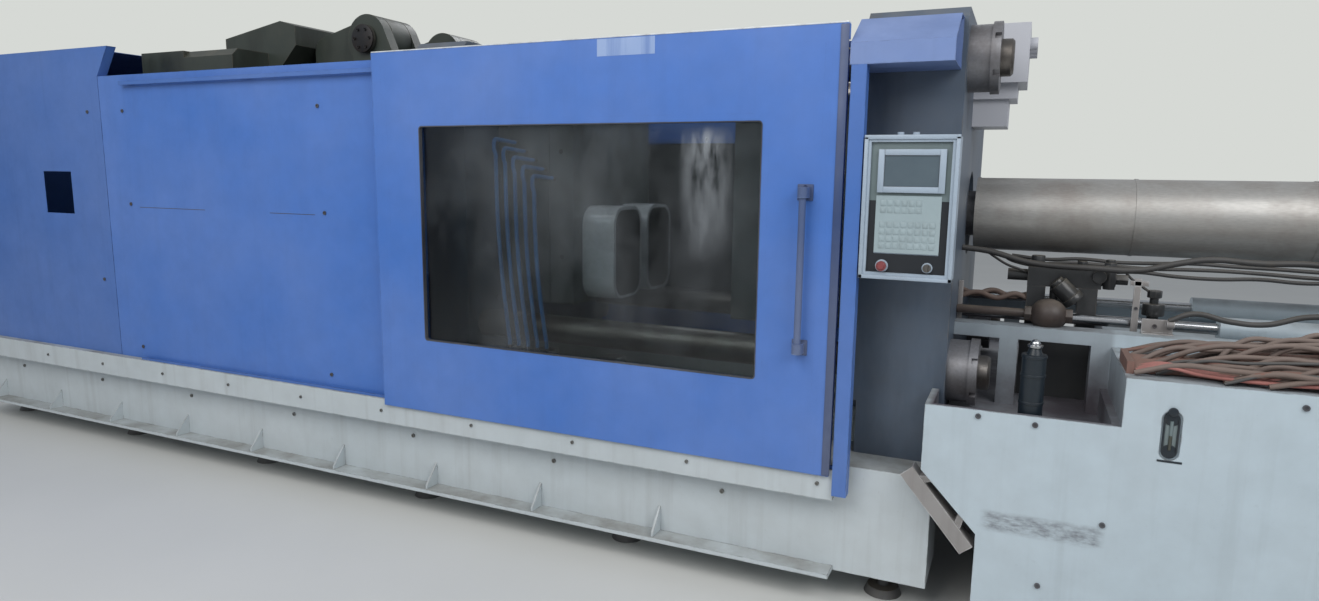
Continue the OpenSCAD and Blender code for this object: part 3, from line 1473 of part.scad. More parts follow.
clamp_bed();
levelling_feet();
stationary_platen();
tie_bars();
platen_nuts();
front_toggle_guard();
front_tail_guard();
rear_toggle_guard();
rear_tail_guard();
end_cover();
front_header();
rear_header();
front_gate_post();
rear_gate_post();
gate_rails();
front_gate_panel();
front_gate_pane();
front_gate_handle();
front_gate_rollers();
rear_gate_panel();
rear_gate_pane();
rear_gate_rollers();
tail_stock();
tail_pins();
clamp_cylinder();
guide_rods();
die_height_nuts();
die_height_drive();
upper_rear_link();
upper_front_link();
upper_knuckle_pins();
lower_rear_link();
lower_front_link();
lower_knuckle_pins();
upper_cross_link();
lower_cross_link();
crosshead();
moving_platen();
ejector();
moving_mould();
fixed_mould();
mould_hoses();
control_box();
control_screen();
control_keypad();
stop_button();
selector_knob();
injection_bed();
deflector();
lubricator();
valve_stack();
cable_bundle();
pull_in_rods();
barrel();
barrel_cover();
carriage();
screw_drive();
screw();
hopper();
hopper_lid();
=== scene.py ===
# Looks of the injection moulding machine: paint, metal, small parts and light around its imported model.
# The machine runs along X with the injection side at +X, the operator at -Y, and Z up. All in metres.

import math
import random

import bmesh
import bpy
from mathutils import Matrix, Vector


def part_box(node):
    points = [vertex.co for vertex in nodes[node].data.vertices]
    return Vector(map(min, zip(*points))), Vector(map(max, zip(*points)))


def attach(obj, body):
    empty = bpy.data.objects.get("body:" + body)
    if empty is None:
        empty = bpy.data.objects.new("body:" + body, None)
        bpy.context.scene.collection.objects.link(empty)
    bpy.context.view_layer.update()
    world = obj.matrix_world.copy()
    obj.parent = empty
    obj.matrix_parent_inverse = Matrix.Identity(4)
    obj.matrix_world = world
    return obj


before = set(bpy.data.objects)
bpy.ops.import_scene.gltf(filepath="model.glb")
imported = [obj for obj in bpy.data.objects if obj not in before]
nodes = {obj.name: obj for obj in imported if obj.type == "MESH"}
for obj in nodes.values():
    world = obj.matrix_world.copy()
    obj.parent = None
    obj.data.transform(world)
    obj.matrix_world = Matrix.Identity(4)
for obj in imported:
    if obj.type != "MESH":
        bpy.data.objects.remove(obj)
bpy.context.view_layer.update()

# Camera and stage: a wide view from the operator's side, a little to the right of the sliding gate.
# The floor is plain and pale, and so is everything behind the machine.
camera_place = Vector((1.8, -4.52, 1.9))
camera_yaw = math.radians(24.19)
camera_pitch = math.radians(8.81)
camera_roll = math.radians(0.735)
forward = Vector((-math.sin(camera_yaw) * math.cos(camera_pitch),
                  math.cos(camera_yaw) * math.cos(camera_pitch), -math.sin(camera_pitch)))
level_right = Vector((math.cos(camera_yaw), math.sin(camera_yaw), 0))
level_up = level_right.cross(forward)
right = level_right * math.cos(camera_roll) + level_up * math.sin(camera_roll)
up = level_up * math.cos(camera_roll) - level_right * math.sin(camera_roll)
lens = bpy.data.cameras.new("camera")
lens.sensor_width = 36
lens.lens = 22.09
lens.clip_end = 200
camera = bpy.data.objects.new("camera", lens)
camera.matrix_world = Matrix.Translation(camera_place) @ Matrix((right, up, -forward)).transposed().to_4x4()
bpy.context.collection.objects.link(camera)
bpy.context.scene.camera = camera
bpy.context.scene.view_settings.view_transform = "Standard"


def add(tree, kind, inputs=(), **settings):
    """Adds a shader node, and sets or links its inputs."""
    made = tree.nodes.new("ShaderNode" + kind)
    for name, value in settings.items():
        setattr(made, name, value)
    for name, value in dict(inputs).items():
        if isinstance(value, bpy.types.NodeSocket):
            tree.links.new(value, made.inputs[name])
        else:
            made.inputs[name].default_value = value
    return made


def rgb(red, green, blue):
    """A colour given as it looks on a screen, from 0 to 255, as Blender wants it."""
    scaled = [part / 255 for part in (red, green, blue)]
    return [s / 12.92 if s <= 0.04045 else ((s + 0.055) / 1.055) ** 2.4 for s in scaled] + [1]


backdrop_colour = rgb(214, 217, 213)
ambient_colour = rgb(222, 228, 236)
world = bpy.data.worlds.new("workshop light")
bpy.context.scene.world = world
world.use_nodes = True
sky = world.node_tree
sky.nodes.clear()
path = add(sky, "LightPath")
seen = add(sky, "Math", {0: path.outputs["Is Camera Ray"], 1: path.outputs["Is Transmission Ray"]},
           operation="MAXIMUM")
tint = add(sky, "Mix", {0: seen.outputs[0], 6: ambient_colour, 7: backdrop_colour}, data_type="RGBA")
strength = add(sky, "MapRange", {"Value": seen.outputs[0], "To Min": 0.52, "To Max": 1.0})
background = add(sky, "Background", {"Color": tint.outputs[2], "Strength": strength.outputs[0]})
add(sky, "OutputWorld", {"Surface": background.outputs[0]})

floor_mesh = bmesh.new()
bmesh.ops.create_grid(floor_mesh, x_segments=2, y_segments=2, size=40)
floor_data = bpy.data.meshes.new("floor")
floor_mesh.to_mesh(floor_data)
floor_mesh.free()
floor = bpy.data.objects.new("floor", floor_data)
bpy.context.collection.objects.link(floor)


def new_finish(name, **values):
    """A new material with its node tree and its shader, which takes the plain values."""
    material = bpy.data.materials.new(name)
    material.use_nodes = True
    shader = material.node_tree.nodes["Principled BSDF"]
    for label, value in values.items():
        shader.inputs[label.replace("_", " ")].default_value = value
    return material, material.node_tree, shader


floor_paint, floor_tree, floor_shader = new_finish("pale floor", Roughness=0.7)
floor_spots = add(floor_tree, "TexNoise", {"Vector": add(floor_tree, "TexCoord").outputs["Object"],
                                           "Scale": 0.8, "Detail": 5})
floor_tint = add(floor_tree, "Mix", {0: floor_spots.outputs["Fac"], 6: rgb(196, 197, 194),
                                     7: rgb(208, 208, 205)}, data_type="RGBA")
floor_tree.links.new(floor_tint.outputs[2], floor_shader.inputs["Base Color"])
floor_data.materials.append(floor_paint)

for lamp_name, place, size, power, colour in (
        ("key lamp", (-1.5, -6.5, 6.5), 5.0, 330, (1.0, 0.99, 0.97)),
        ("right lamp", (5.5, -4.0, 5.5), 4.0, 215, (1.0, 1.0, 1.0)),
        ("rear lamp", (-2.0, 6.5, 6.0), 5.0, 270, (0.96, 0.98, 1.0))):
    lamp_data = bpy.data.lights.new(lamp_name, "AREA")
    lamp_data.size = size
    lamp_data.energy = power
    lamp_data.color = colour
    lamp = bpy.data.objects.new(lamp_name, lamp_data)
    lamp.location = place
    aim = Vector((place[0] * 0.3, 0, 1.2)) - Vector(place)
    lamp.rotation_euler = aim.to_track_quat("-Z", "Y").to_euler()
    bpy.context.collection.objects.link(lamp)

# Clamp bed and its levelling feet: welded box frames in pale machine paint that carry the whole clamp.
# The paint is dusty on top and streaked with oil below, and its edges have worn.


def effect(name, inputs, outputs):
    """Starts a shader node group with named inputs, given with their first values, and named outputs."""
    tree = bpy.data.node_groups.new(name, "ShaderNodeTree")
    for label, value in inputs.items():
        is_colour = isinstance(value, (list, tuple))
        kind = "NodeSocketColor" if is_colour else "NodeSocketFloat"
        tree.interface.new_socket(label, in_out="INPUT", socket_type=kind).default_value = value
    for label in outputs:
        kind = "NodeSocketColor" if label == "Color" else "NodeSocketFloat"
        tree.interface.new_socket(label, in_out="OUTPUT", socket_type=kind)
    return tree, tree.nodes.new("NodeGroupInput").outputs, tree.nodes.new("NodeGroupOutput")


def calc(tree, operation, first, second=0.0, clamp=False):
    return add(tree, "Math", {0: first, 1: second}, operation=operation, use_clamp=clamp).outputs[0]


def times(tree, first, second, clamp=False):
    return calc(tree, "MULTIPLY", first, second, clamp)


def mixed(tree, factor, first, second, how="MIX"):
    return add(tree, "Mix", {0: factor, 6: first, 7: second}, data_type="RGBA", blend_type=how).outputs[2]


def spread(tree, value, low, high, to_low=0.0, to_high=1.0):
    return add(tree, "MapRange", {"Value": value, "From Min": low, "From Max": high,
                                  "To Min": to_low, "To Max": to_high}).outputs[0]


def pattern(tree, scale, detail=4.0, stretch=(1, 1, 1), shift=0.0):
    """A cloudy pattern on the piece's own coordinates, stretched along some directions."""
    place = add(tree, "Mapping", {"Vector": add(tree, "TexCoord").outputs["Object"], "Scale": stretch,
                                  "Location": (shift, shift * 0.7, shift * 1.3)})
    return add(tree, "TexNoise", {"Vector": place.outputs[0], "Scale": scale, "Detail": detail,
                                  "Roughness": 0.6}).outputs["Fac"]


worn, worn_in, worn_out = effect("worn edges", {"Width": 0.006, "Amount": 1.0}, ["Mask"])
softened = add(worn, "Bevel", {"Radius": worn_in["Width"]}, samples=4)
straight = add(worn, "NewGeometry")
agree = add(worn, "VectorMath", {0: softened.outputs[0], 1: straight.outputs["Normal"]},
            operation="DOT_PRODUCT").outputs["Value"]
corner = spread(worn, agree, 0.985, 0.86)
patchy = spread(worn, pattern(worn, 16, 6), 0.42, 0.62)
worn.links.new(times(worn, times(worn, corner, patchy), worn_in["Amount"], True), worn_out.inputs["Mask"])

paint, paint_in, paint_out = effect(
    "weathered paint",
    {"Paint": rgb(200, 206, 208), "Dirt": rgb(96, 88, 74), "Dust": 0.5, "Streaks": 0.4, "Fade": 0.5,
     "Bare": rgb(70, 66, 62), "Wear": 0.6, "Gloss": 0.35},
    ["Color", "Roughness", "Height"])
clouds = pattern(paint, 0.8, 5)
mottle = pattern(paint, 7, 6, shift=3.1)
faded = mixed(paint, times(paint, spread(paint, clouds, 0.3, 0.75), paint_in["Fade"]),
              paint_in["Paint"], mixed(paint, 0.22, paint_in["Paint"], (1, 1, 1, 1)))
toned = mixed(paint, spread(paint, mottle, 0.25, 0.8, 0.0, 0.16), faded, paint_in["Dirt"])
runs = spread(paint, pattern(paint, 3.0, 7, (5.0, 5.0, 0.22), 5.2), 0.52, 0.78)
run_mask = times(paint, runs, paint_in["Streaks"])
facing = add(paint, "SeparateXYZ", {0: add(paint, "NewGeometry").outputs["Normal"]}).outputs["Z"]
lying = times(paint, spread(paint, facing, 0.3, 0.95),
              spread(paint, pattern(paint, 4.5, 7, shift=8.4), 0.2, 0.7))
dust_mask = times(paint, lying, paint_in["Dust"])
specks = spread(paint, pattern(paint, 55, 3, shift=1.7), 0.66, 0.74)
speck_mask = times(paint, specks, times(paint, paint_in["Streaks"], 0.55))
dirt_mask = calc(paint, "MAXIMUM", calc(paint, "MAXIMUM", run_mask, dust_mask), speck_mask)
dirty = mixed(paint, dirt_mask, toned, paint_in["Dirt"])
edge = add(paint, "Group", node_tree=worn)
edge.inputs["Width"].default_value = 0.007
paint.links.new(paint_in["Wear"], edge.inputs["Amount"])
chipped = mixed(paint, edge.outputs["Mask"], dirty, paint_in["Bare"])
paint.links.new(chipped, paint_out.inputs["Color"])
shine = calc(paint, "ADD", paint_in["Gloss"], spread(paint, mottle, 0.2, 0.8, -0.06, 0.1))
paint.links.new(calc(paint, "ADD", shine, times(paint, dirt_mask, 0.4), True),
                paint_out.inputs["Roughness"])
peel = times(paint, pattern(paint, 210, 2), 0.25)
paint.links.new(calc(paint, "SUBTRACT", peel, times(paint, edge.outputs["Mask"], 0.6)),
                paint_out.inputs["Height"])


def finish_from(group, name, bump=0.15, depth=0.001, **values):
    """A material that takes colour, roughness and bump from a node group. Values that the group doesn't
    know go to the shader."""
    material, tree, shader = new_finish(name)
    source = add(tree, "Group", node_tree=group)
    for label, value in values.items():
        label = label.replace("_", " ")
        owner = source if label in source.inputs else shader
        owner.inputs[label].default_value = rgb(*value) if isinstance(value, tuple) else value
    tree.links.new(source.outputs["Color"], shader.inputs["Base Color"])
    tree.links.new(source.outputs["Roughness"], shader.inputs["Roughness"])
    relief = add(tree, "Bump", {"Height": source.outputs["Height"], "Strength": bump, "Distance": depth})
    tree.links.new(relief.outputs[0], shader.inputs["Normal"])
    return material


def dress(material, *names):
    """Puts one material on nodes of the frame, in each of their material slots."""
    for name in names:
        looks = nodes[name].data.materials
        if len(looks) == 0:
            looks.append(material)
        for index in range(len(looks)):
            looks[index] = material


white_paint = finish_from(
    paint, "dusty white paint", Paint=(186, 195, 199), Dirt=(104, 98, 88), Dust=0.75, Streaks=0.2,
    Fade=0.5, Wear=0.8, Gloss=0.42)
feet_iron = finish_from(
    paint, "dark feet", Paint=(44, 46, 48), Dirt=(92, 80, 64), Dust=0.8, Streaks=0.5, Wear=0.9,
    Gloss=0.5)
dress(white_paint, "clamp_bed")
dress(feet_iron, "levelling_feet")


def fit(name, mesh, material, body="root"):
    """Makes a piece of a bmesh, with its material, and fixes it to a body of the machine."""
    bmesh.ops.recalc_face_normals(mesh, faces=mesh.faces)
    data = bpy.data.meshes.new(name)
    mesh.to_mesh(data)
    mesh.free()
    piece = bpy.data.objects.new(name, data)
    bpy.context.collection.objects.link(piece)
    data.materials.append(material)
    data.polygons.foreach_set("use_smooth", [True] * len(data.polygons))
    data.set_sharp_from_angle(angle=math.radians(40))
    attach(piece, body)
    return piece


TURNS = {"x": Matrix.Rotation(math.pi / 2, 4, "Y"), "-x": Matrix.Rotation(-math.pi / 2, 4, "Y"),
         "y": Matrix.Rotation(-math.pi / 2, 4, "X"), "-y": Matrix.Rotation(math.pi / 2, 4, "X"),
         "z": Matrix.Identity(4), "-z": Matrix.Rotation(math.pi, 4, "X")}


def rounded(mesh, edges, offset, segments=2):
    """Rounds edges of a mesh, each once and in the order given."""
    bmesh.ops.bevel(mesh, geom=list(dict.fromkeys(edges)), offset=offset, affect="EDGES",
                    segments=segments, profile=0.5, material=-1)


def rod(mesh, start, length, radius, axis="z", end_radius=None, segments=24, edge=0.0):
    """A round bar or cone from a point along an axis, with rounded end edges if edge is given."""
    turn = Matrix.Translation(start) @ TURNS[axis] @ Matrix.Translation((0, 0, length / 2))
    made = bmesh.ops.create_cone(mesh, cap_ends=True, segments=segments, radius1=radius,
                                 radius2=radius if end_radius is None else end_radius,
                                 depth=length, matrix=turn)
    if edge:
        rounded(mesh, [e for v in made["verts"] for e in v.link_edges
                       if len(e.link_faces) == 2 and e.calc_face_angle() > 1.0], edge)


def slab(mesh, low, high, edge=0.0):
    """A plate between two corners, with all its edges rounded if edge is given."""
    middle = [(a + b) / 2 for a, b in zip(low, high)]
    size = [b - a for a, b in zip(low, high)]
    place = Matrix.Translation(middle) @ Matrix.Diagonal(size + [1])
    made = bmesh.ops.create_cube(mesh, size=1, matrix=place)
    if edge:
        rounded(mesh, [e for v in made["verts"] for e in v.link_edges], edge)


def screw_head(mesh, place, radius, height, axis, sides=16):
    """A round head with a hexagon socket, standing on a face that looks along the axis."""
    frame_of_head = Matrix.Translation(place) @ TURNS[axis]
    outline = [frame_of_head @ Vector((radius * math.cos(a), radius * math.sin(a), 0))
               for a in (2 * math.pi * k / sides for k in range(sides))]
    base = mesh.faces.new([mesh.verts.new(p) for p in outline])
    out = (frame_of_head.to_3x3() @ Vector((0, 0, 1))).normalized()
    body_part = bmesh.ops.extrude_face_region(mesh, geom=[base])
    top = [g for g in body_part["geom"] if isinstance(g, bmesh.types.BMFace)][0]
    bmesh.ops.translate(mesh, verts=top.verts, vec=out * height)
    top.normal_update()
    bmesh.ops.inset_region(mesh, faces=[top], thickness=radius * 0.12, depth=0)
    bmesh.ops.inset_region(mesh, faces=[top], thickness=radius * 0.33, depth=-height * 0.1)
    bmesh.ops.inset_region(mesh, faces=[top], thickness=radius * 0.02, depth=-height * 0.55)


bed_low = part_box("clamp_bed")[0]
strip_face = -1.135
web_face = -1.05
zinc = finish_from(
    paint, "dulled zinc", Paint=(122, 122, 118), Dirt=(60, 54, 46), Dust=0.5, Streaks=0.5, Wear=0.1,
    Gloss=0.38, Metallic=0.8)
bed_screws = bmesh.new()
for side, axis in ((1, "-y"), (-1, "y")):
    for k in range(11):
        screw_head(bed_screws, (bed_low.x + 0.35 + 0.62 * k, side * strip_face, 0.57), 0.009, 0.006, axis)
    for k in range(7):
        screw_head(bed_screws, (bed_low.x + 0.5 + 0.93 * k, side * web_face, 0.42), 0.011, 0.008, axis)
fit("bed_screws", bed_screws, zinc)

# Stationary platen, tie bars and nuts: a cast block in dark grey paint, with machined bars through its
# corners. Oil has darkened the casting, and rust and grease have dulled the bars.
cast, cast_in, cast_out = effect(
    "cast and painted",
    {"Paint": rgb(72, 82, 94), "Oil": rgb(24, 24, 24), "Dust": 0.35, "Oily": 0.5,
     "Bare": rgb(108, 104, 98), "Wear": 0.7, "Gloss": 0.42},
    ["Color", "Roughness", "Height"])
grit = pattern(cast, 95, 4)
lumps = pattern(cast, 11, 5, shift=2.2)
oil_mask = times(cast, spread(cast, pattern(cast, 2.4, 7, (1.6, 1.6, 0.5), 4.4), 0.45, 0.7),
                 cast_in["Oily"])
wetted = mixed(cast, oil_mask, mixed(cast, spread(cast, lumps, 0.3, 0.75, 0.0, 0.14), cast_in["Paint"],
                                     cast_in["Bare"]), cast_in["Oil"])
level = add(cast, "SeparateXYZ", {0: add(cast, "NewGeometry").outputs["Normal"]}).outputs["Z"]
lain = times(cast, times(cast, spread(cast, level, 0.3, 0.9),
                         spread(cast, lumps, 0.25, 0.7)), cast_in["Dust"])
dusted = mixed(cast, lain, wetted, rgb(128, 120, 106))
rubbed = add(cast, "Group", node_tree=worn)
rubbed.inputs["Width"].default_value = 0.01
cast.links.new(cast_in["Wear"], rubbed.inputs["Amount"])
cast.links.new(mixed(cast, rubbed.outputs["Mask"], dusted, cast_in["Bare"]), cast_out.inputs["Color"])
dulled = calc(cast, "SUBTRACT", cast_in["Gloss"], times(cast, oil_mask, 0.2))
cast.links.new(calc(cast, "ADD", dulled, times(cast, lain, 0.45), True), cast_out.inputs["Roughness"])
cast.links.new(calc(cast, "ADD", times(cast, grit, 0.5), times(cast, lumps, 0.5)),
               cast_out.inputs["Height"])

steel, steel_in, steel_out = effect(
    "oily machined metal",
    {"Metal": rgb(150, 150, 150), "Stain": rgb(74, 58, 42), "Stained": 0.4, "Gloss": 0.3,
     "Grain X": 1.0, "Grain Y": 1.0, "Grain Z": 1.0},
    ["Color", "Roughness", "Height"])
grain_place = add(steel, "CombineXYZ", {0: steel_in["Grain X"], 1: steel_in["Grain Y"],
                                        2: steel_in["Grain Z"]})
grain_space = add(steel, "VectorMath", {0: add(steel, "TexCoord").outputs["Object"],
                                        1: grain_place.outputs[0]}, operation="MULTIPLY")
grain = add(steel, "TexNoise", {"Vector": grain_space.outputs[0], "Scale": 90, "Detail": 4}).outputs["Fac"]
stain_mask = times(steel, spread(steel, pattern(steel, 5, 7, shift=6.1), 0.42, 0.68), steel_in["Stained"])
stained = mixed(steel, stain_mask, mixed(steel, spread(steel, grain, 0.3, 0.7, 0.0, 0.2), steel_in["Metal"],
                                         rgb(70, 70, 70)), steel_in["Stain"])
steel.links.new(stained, steel_out.inputs["Color"])
ground = calc(steel, "ADD", steel_in["Gloss"], times(steel, grain, 0.12))
steel.links.new(calc(steel, "ADD", ground, times(steel, stain_mask, 0.35), True),
                steel_out.inputs["Roughness"])
steel.links.new(grain, steel_out.inputs["Height"])

iron_paint = finish_from(
    cast, "dark grey casting", Paint=(81, 94, 110), Oily=0.4, Wear=0.75, bump=0.25, depth=0.002)
bar_steel = finish_from(
    steel, "greasy tie bar", Metal=(128, 124, 120), Stain=(62, 50, 40), Stained=0.6, Gloss=0.26,
    Grain_X=5.0, Grain_Y=0.5, Grain_Z=0.5, Metallic=0.9)
nut_steel = finish_from(
    steel, "dull steel nut", Metal=(140, 140, 144), Stain=(70, 60, 52), Stained=0.5, Gloss=0.34,
    Metallic=0.6)
dress(iron_paint, "stationary_platen")
dress(bar_steel, "tie_bars")
dress(nut_steel, "platen_nuts")

bolt_black = finish_from(
    steel, "oiled black bolt", Metal=(52, 52, 54), Stain=(78, 60, 44), Stained=0.5, Gloss=0.36,
    Metallic=0.7)

# Tail stock, clamp cylinder and die-height gear: an oily casting in dark olive paint at the toggle's rear,
# with the cylinder bolted to its back and a ring gear that turns the four tie-bar nuts together.
olive_paint = finish_from(
    cast, "oily olive casting", Paint=(52, 59, 54), Oil=(22, 24, 21), Dust=0.3, Oily=0.6,
    Bare=(92, 86, 74), Wear=0.8, Gloss=0.4, bump=0.3, depth=0.003)
pin_steel = finish_from(
    steel, "greasy pin", Metal=(120, 118, 112), Stain=(50, 40, 30), Stained=0.65, Gloss=0.28,
    Metallic=0.85)
chrome = finish_from(
    steel, "chromed rod", Metal=(196, 198, 200), Stain=(110, 96, 80), Stained=0.18, Gloss=0.1,
    Metallic=1.0)
dress(olive_paint, "tail_stock", "clamp_cylinder")
dress(pin_steel, "tail_pins", "die_height_nuts", "die_height_drive")
dress(chrome, "guide_rods")

clamp_height = 1.725
flange_face = -3.3206
bolt_circle = 0.215
tail_bolts = bmesh.new()
for k in range(12):
    turn = 2 * math.pi * (k + 0.5) / 12
    if k % 3 != 1:
        place = (flange_face, bolt_circle * math.cos(turn), clamp_height + bolt_circle * math.sin(turn))
        screw_head(tail_bolts, place, 0.014, 0.02, "-x")
fit("cylinder_bolts", tail_bolts, bolt_black, body="tail_stock")

# Toggle: links with round eyes on greased pins, in the same olive paint, and the crosshead between them.
# The upper and the lower half mirror each other, and bolted caps close the ends of their pins.
dress(olive_paint, "upper_rear_link", "upper_front_link", "lower_rear_link", "lower_front_link",
      "upper_cross_link", "lower_cross_link", "crosshead")
dress(pin_steel, "upper_knuckle_pins", "lower_knuckle_pins")
link_length = 0.83
link_angle = math.radians(65)
platen_pin = (-1.669, 1.96)
knuckle_pin = (platen_pin[0] - link_length * math.cos(link_angle),
               platen_pin[1] + link_length * math.sin(link_angle))
tail_pin = (platen_pin[0] - 2 * link_length * math.cos(link_angle), platen_pin[1])
cap_thick = 0.012


def pin_cap(mesh, place, y, radius, side):
    """A round cover plate with six screws on the end of a pin."""
    axis = "y" if side > 0 else "-y"
    rod(mesh, (place[0], side * y, place[1]), cap_thick, radius, axis, segments=48, edge=0.003)
    for k in range(6):
        turn = math.pi * k / 3
        screw_head(mesh, (place[0] + 0.7 * radius * math.cos(turn), side * (y + cap_thick),
                          place[1] + 0.7 * radius * math.sin(turn)), 0.009, 0.008, axis, 12)


for half, flip in (("upper", 1), ("lower", -1)):
    for name, place, y, radius, body in (
            ("tail_pin_caps", tail_pin, 0.527, 0.06, "tail_stock"),
            ("knuckle_caps", knuckle_pin, 0.541, 0.085, half + "_front_link"),
            ("platen_pin_caps", platen_pin, 0.525, 0.06, "moving_platen")):
        caps = bmesh.new()
        pin_place = (place[0], clamp_height + flip * (place[1] - clamp_height))
        for side in (-1, 1):
            pin_cap(caps, pin_place, y, radius, side)
        fit(half + "_" + name, caps, bolt_black, body=body)

# Moving platen and ejector: a second casting that slides on the tie bars, with the ejector plate and its
# rods behind it.
dress(iron_paint, "moving_platen")
dress(nut_steel, "ejector")

# Mould: two blocks of ground tool steel. The moving half carries two polished cores with painted
# reflections on them, and blue hoses bring it cooling water.
mould_steel = finish_from(
    steel, "ground mould steel", Metal=(118, 124, 124), Stain=(64, 66, 58), Stained=0.5, Gloss=0.34,
    Grain_Z=4.0, Metallic=0.35)
dress(mould_steel, "moving_mould", "fixed_mould")
# The cores' near-white skin and the white rim round each end face are a painted reflection and highlight.
# The inset end faces are a painted dark reflection.
core_painted_reflection = finish_from(
    steel, "polished core with painted reflection", Metal=(240, 242, 244), Stain=(120, 124, 124), Stained=0.4, Gloss=0.18,
    Metallic=0.15)
core_end_dark_reflection = finish_from(
    steel, "core end with painted dark reflection", Metal=(66, 70, 66), Stain=(40, 40, 36), Stained=0.6, Gloss=0.3, Metallic=0.6)
core_back, core_tip = -0.5465, -0.3374
core_bottom, core_top = 1.1744, 1.7156
core_half = 0.1806
for name, centre_y in (("front", -0.22), ("rear", 0.22)):
    shell = bmesh.new()
    slab(shell, (core_back, centre_y - core_half, core_bottom), (core_tip, centre_y + core_half, core_top))
    rounded(shell, [e for e in shell.edges if abs(e.verts[0].co.x - e.verts[1].co.x) > 0.1], 0.11, 10)
    tip = [f for f in shell.faces if min(v.co.x for v in f.verts) > core_tip - 0.001][0]
    rounded(shell, tip.edges, 0.005, 3)
    tip = max((f for f in shell.faces if min(v.co.x for v in f.verts) > core_tip - 0.001),
              key=lambda f: f.calc_area())
    bmesh.ops.inset_region(shell, faces=[tip], thickness=0.012, depth=0)
    bmesh.ops.inset_region(shell, faces=[tip], thickness=0.002, depth=-0.0003)
    tip.material_index = 1
    skin = fit(name + "_core_skin", shell, core_painted_reflection, body="moving_platen")
    skin.data.materials.append(core_end_dark_reflection)
hose_blue, hose_tree, hose_shader = new_finish("blue hose", Roughness=0.32)
hose_tint = mixed(hose_tree, pattern(hose_tree, 9, 4), rgb(48, 112, 186), rgb(104, 160, 214))
hose_tree.links.new(hose_tint, hose_shader.inputs["Base Color"])
dress(hose_blue, "mould_hoses")

# Fixed guards and end cover: folded steel sheets in blue machine paint, screwed to their frames. The
# paint has faded, and thin dark scuff lines run along the toggle guards.
blue_paint = finish_from(
    paint, "blue machine paint", Paint=(62, 112, 192), Dirt=(46, 60, 94), Dust=0.5, Streaks=0.07,
    Fade=0.35, Bare=(38, 44, 60), Wear=0.55, Gloss=0.4, bump=0.08)
dull_blue = finish_from(
    paint, "dull blue paint", Paint=(62, 107, 181), Dirt=(46, 58, 88), Dust=0.5, Streaks=0.1, Fade=0.3,
    Bare=(38, 44, 60), Wear=0.55, Gloss=0.42, bump=0.08)
dress(blue_paint, "front_toggle_guard", "rear_toggle_guard")
dress(dull_blue, "front_tail_guard", "rear_tail_guard", "end_cover")
guard_face = 1.09
dark_screw = finish_from(
    paint, "rusty dark screw", Paint=(38, 44, 56), Dirt=(72, 52, 38), Dust=0.3, Streaks=0.8, Wear=0.3,
    Gloss=0.5)
guard_screws = bmesh.new()
for side, axis in ((-1, "-y"), (1, "y")):
    for x, z in ((-3.898, 2.264), (-3.539, 2.263), (-1.847, 2.257), (-3.53, 1.67), (-1.832, 1.663),
                 (-3.878, 1.153), (-3.53, 0.72), (-1.84, 0.72), (-5.42, 2.264), (-5.42, 1.153),
                 (-5.42, 0.72)):
        screw_head(guard_screws, (x, side * guard_face, z), 0.011, 0.006, axis)
fit("guard_screws", guard_screws, dark_screw)
scuffs = bmesh.new()
scuff_deep, scuff_half = 0.0004, 0.0018
for x0, x1, z in ((-3.447, -2.83, 1.651), (-2.269, -1.909, 1.650)):
    for y in (-guard_face, guard_face):
        slab(scuffs, (x0, y - scuff_deep, z - scuff_half), (x1, y + scuff_deep, z + scuff_half))
fit("guard_scuff_lines", scuffs, dark_screw)

# Gates: folded sheets on rollers in the same blue, each with a pane in a rubber frame, a dark closing strip
# on the edge that meets its post, and a pale strip along the top. The front pane is clear, with smears and
# a painted light streak, and the rear pane is a dark sheet of painted shade.
dress(blue_paint, "front_gate_panel", "rear_gate_panel")
# The handle's dark blue is partly painted shade, and its light-blue worn edges are painted highlights.
handle_shade_and_glint = finish_from(
    paint, "handle paint with painted shade and edge highlights", Paint=(66, 86, 128), Dirt=(48, 56, 72), Dust=0.2, Streaks=0.2,
    Wear=0.6, Bare=(150, 176, 220), Gloss=0.32)
dress(handle_shade_and_glint, "front_gate_handle")
dress(pin_steel, "front_gate_rollers", "rear_gate_rollers")
dress(dull_blue, "gate_rails")
pane_clear, pane_tree, pane_shader = new_finish("tinted pane", Transmission_Weight=1.0, IOR=1.35)
pane_smears = pattern(pane_tree, 2.6, 7, (1, 1, 0.5))
pane_tree.links.new(mixed(pane_tree, spread(pane_tree, pane_smears, 0.4, 0.7, 0.0, 0.5),
                          rgb(176, 184, 186), rgb(150, 158, 160)), pane_shader.inputs["Base Color"])
pane_tree.links.new(spread(pane_tree, pane_smears, 0.4, 0.75, 0.03, 0.12), pane_shader.inputs["Roughness"])
dress(pane_clear, "front_gate_pane")
# The rear pane is an opaque dark sheet. It is painted shade for the dark inside of the machine seen through
# it.
rear_pane_shade = finish_from(
    paint, "rear pane of painted shade", Paint=(52, 57, 62), Dirt=(78, 80, 78), Dust=0.3, Streaks=0.3, Wear=0.0,
    Gloss=0.12, bump=0.02)
dress(rear_pane_shade, "rear_gate_pane")

gate_low, gate_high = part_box("front_gate_panel")
pane_low, pane_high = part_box("front_gate_pane")
rubber = finish_from(
    paint, "black rubber", Paint=(22, 27, 40), Dirt=(40, 44, 54), Dust=0.2, Streaks=0.1, Wear=0.0,
    Gloss=0.6)
strip_blue = finish_from(
    paint, "dark blue strip", Paint=(38, 62, 108), Dirt=(30, 34, 44), Streaks=0.4, Wear=0.6, Gloss=0.42)
strip_pale = finish_from(
    paint, "pale top strip", Paint=(214, 219, 222), Dirt=(120, 118, 110), Dust=0.4, Streaks=0.4,
    Wear=0.5, Gloss=0.4)


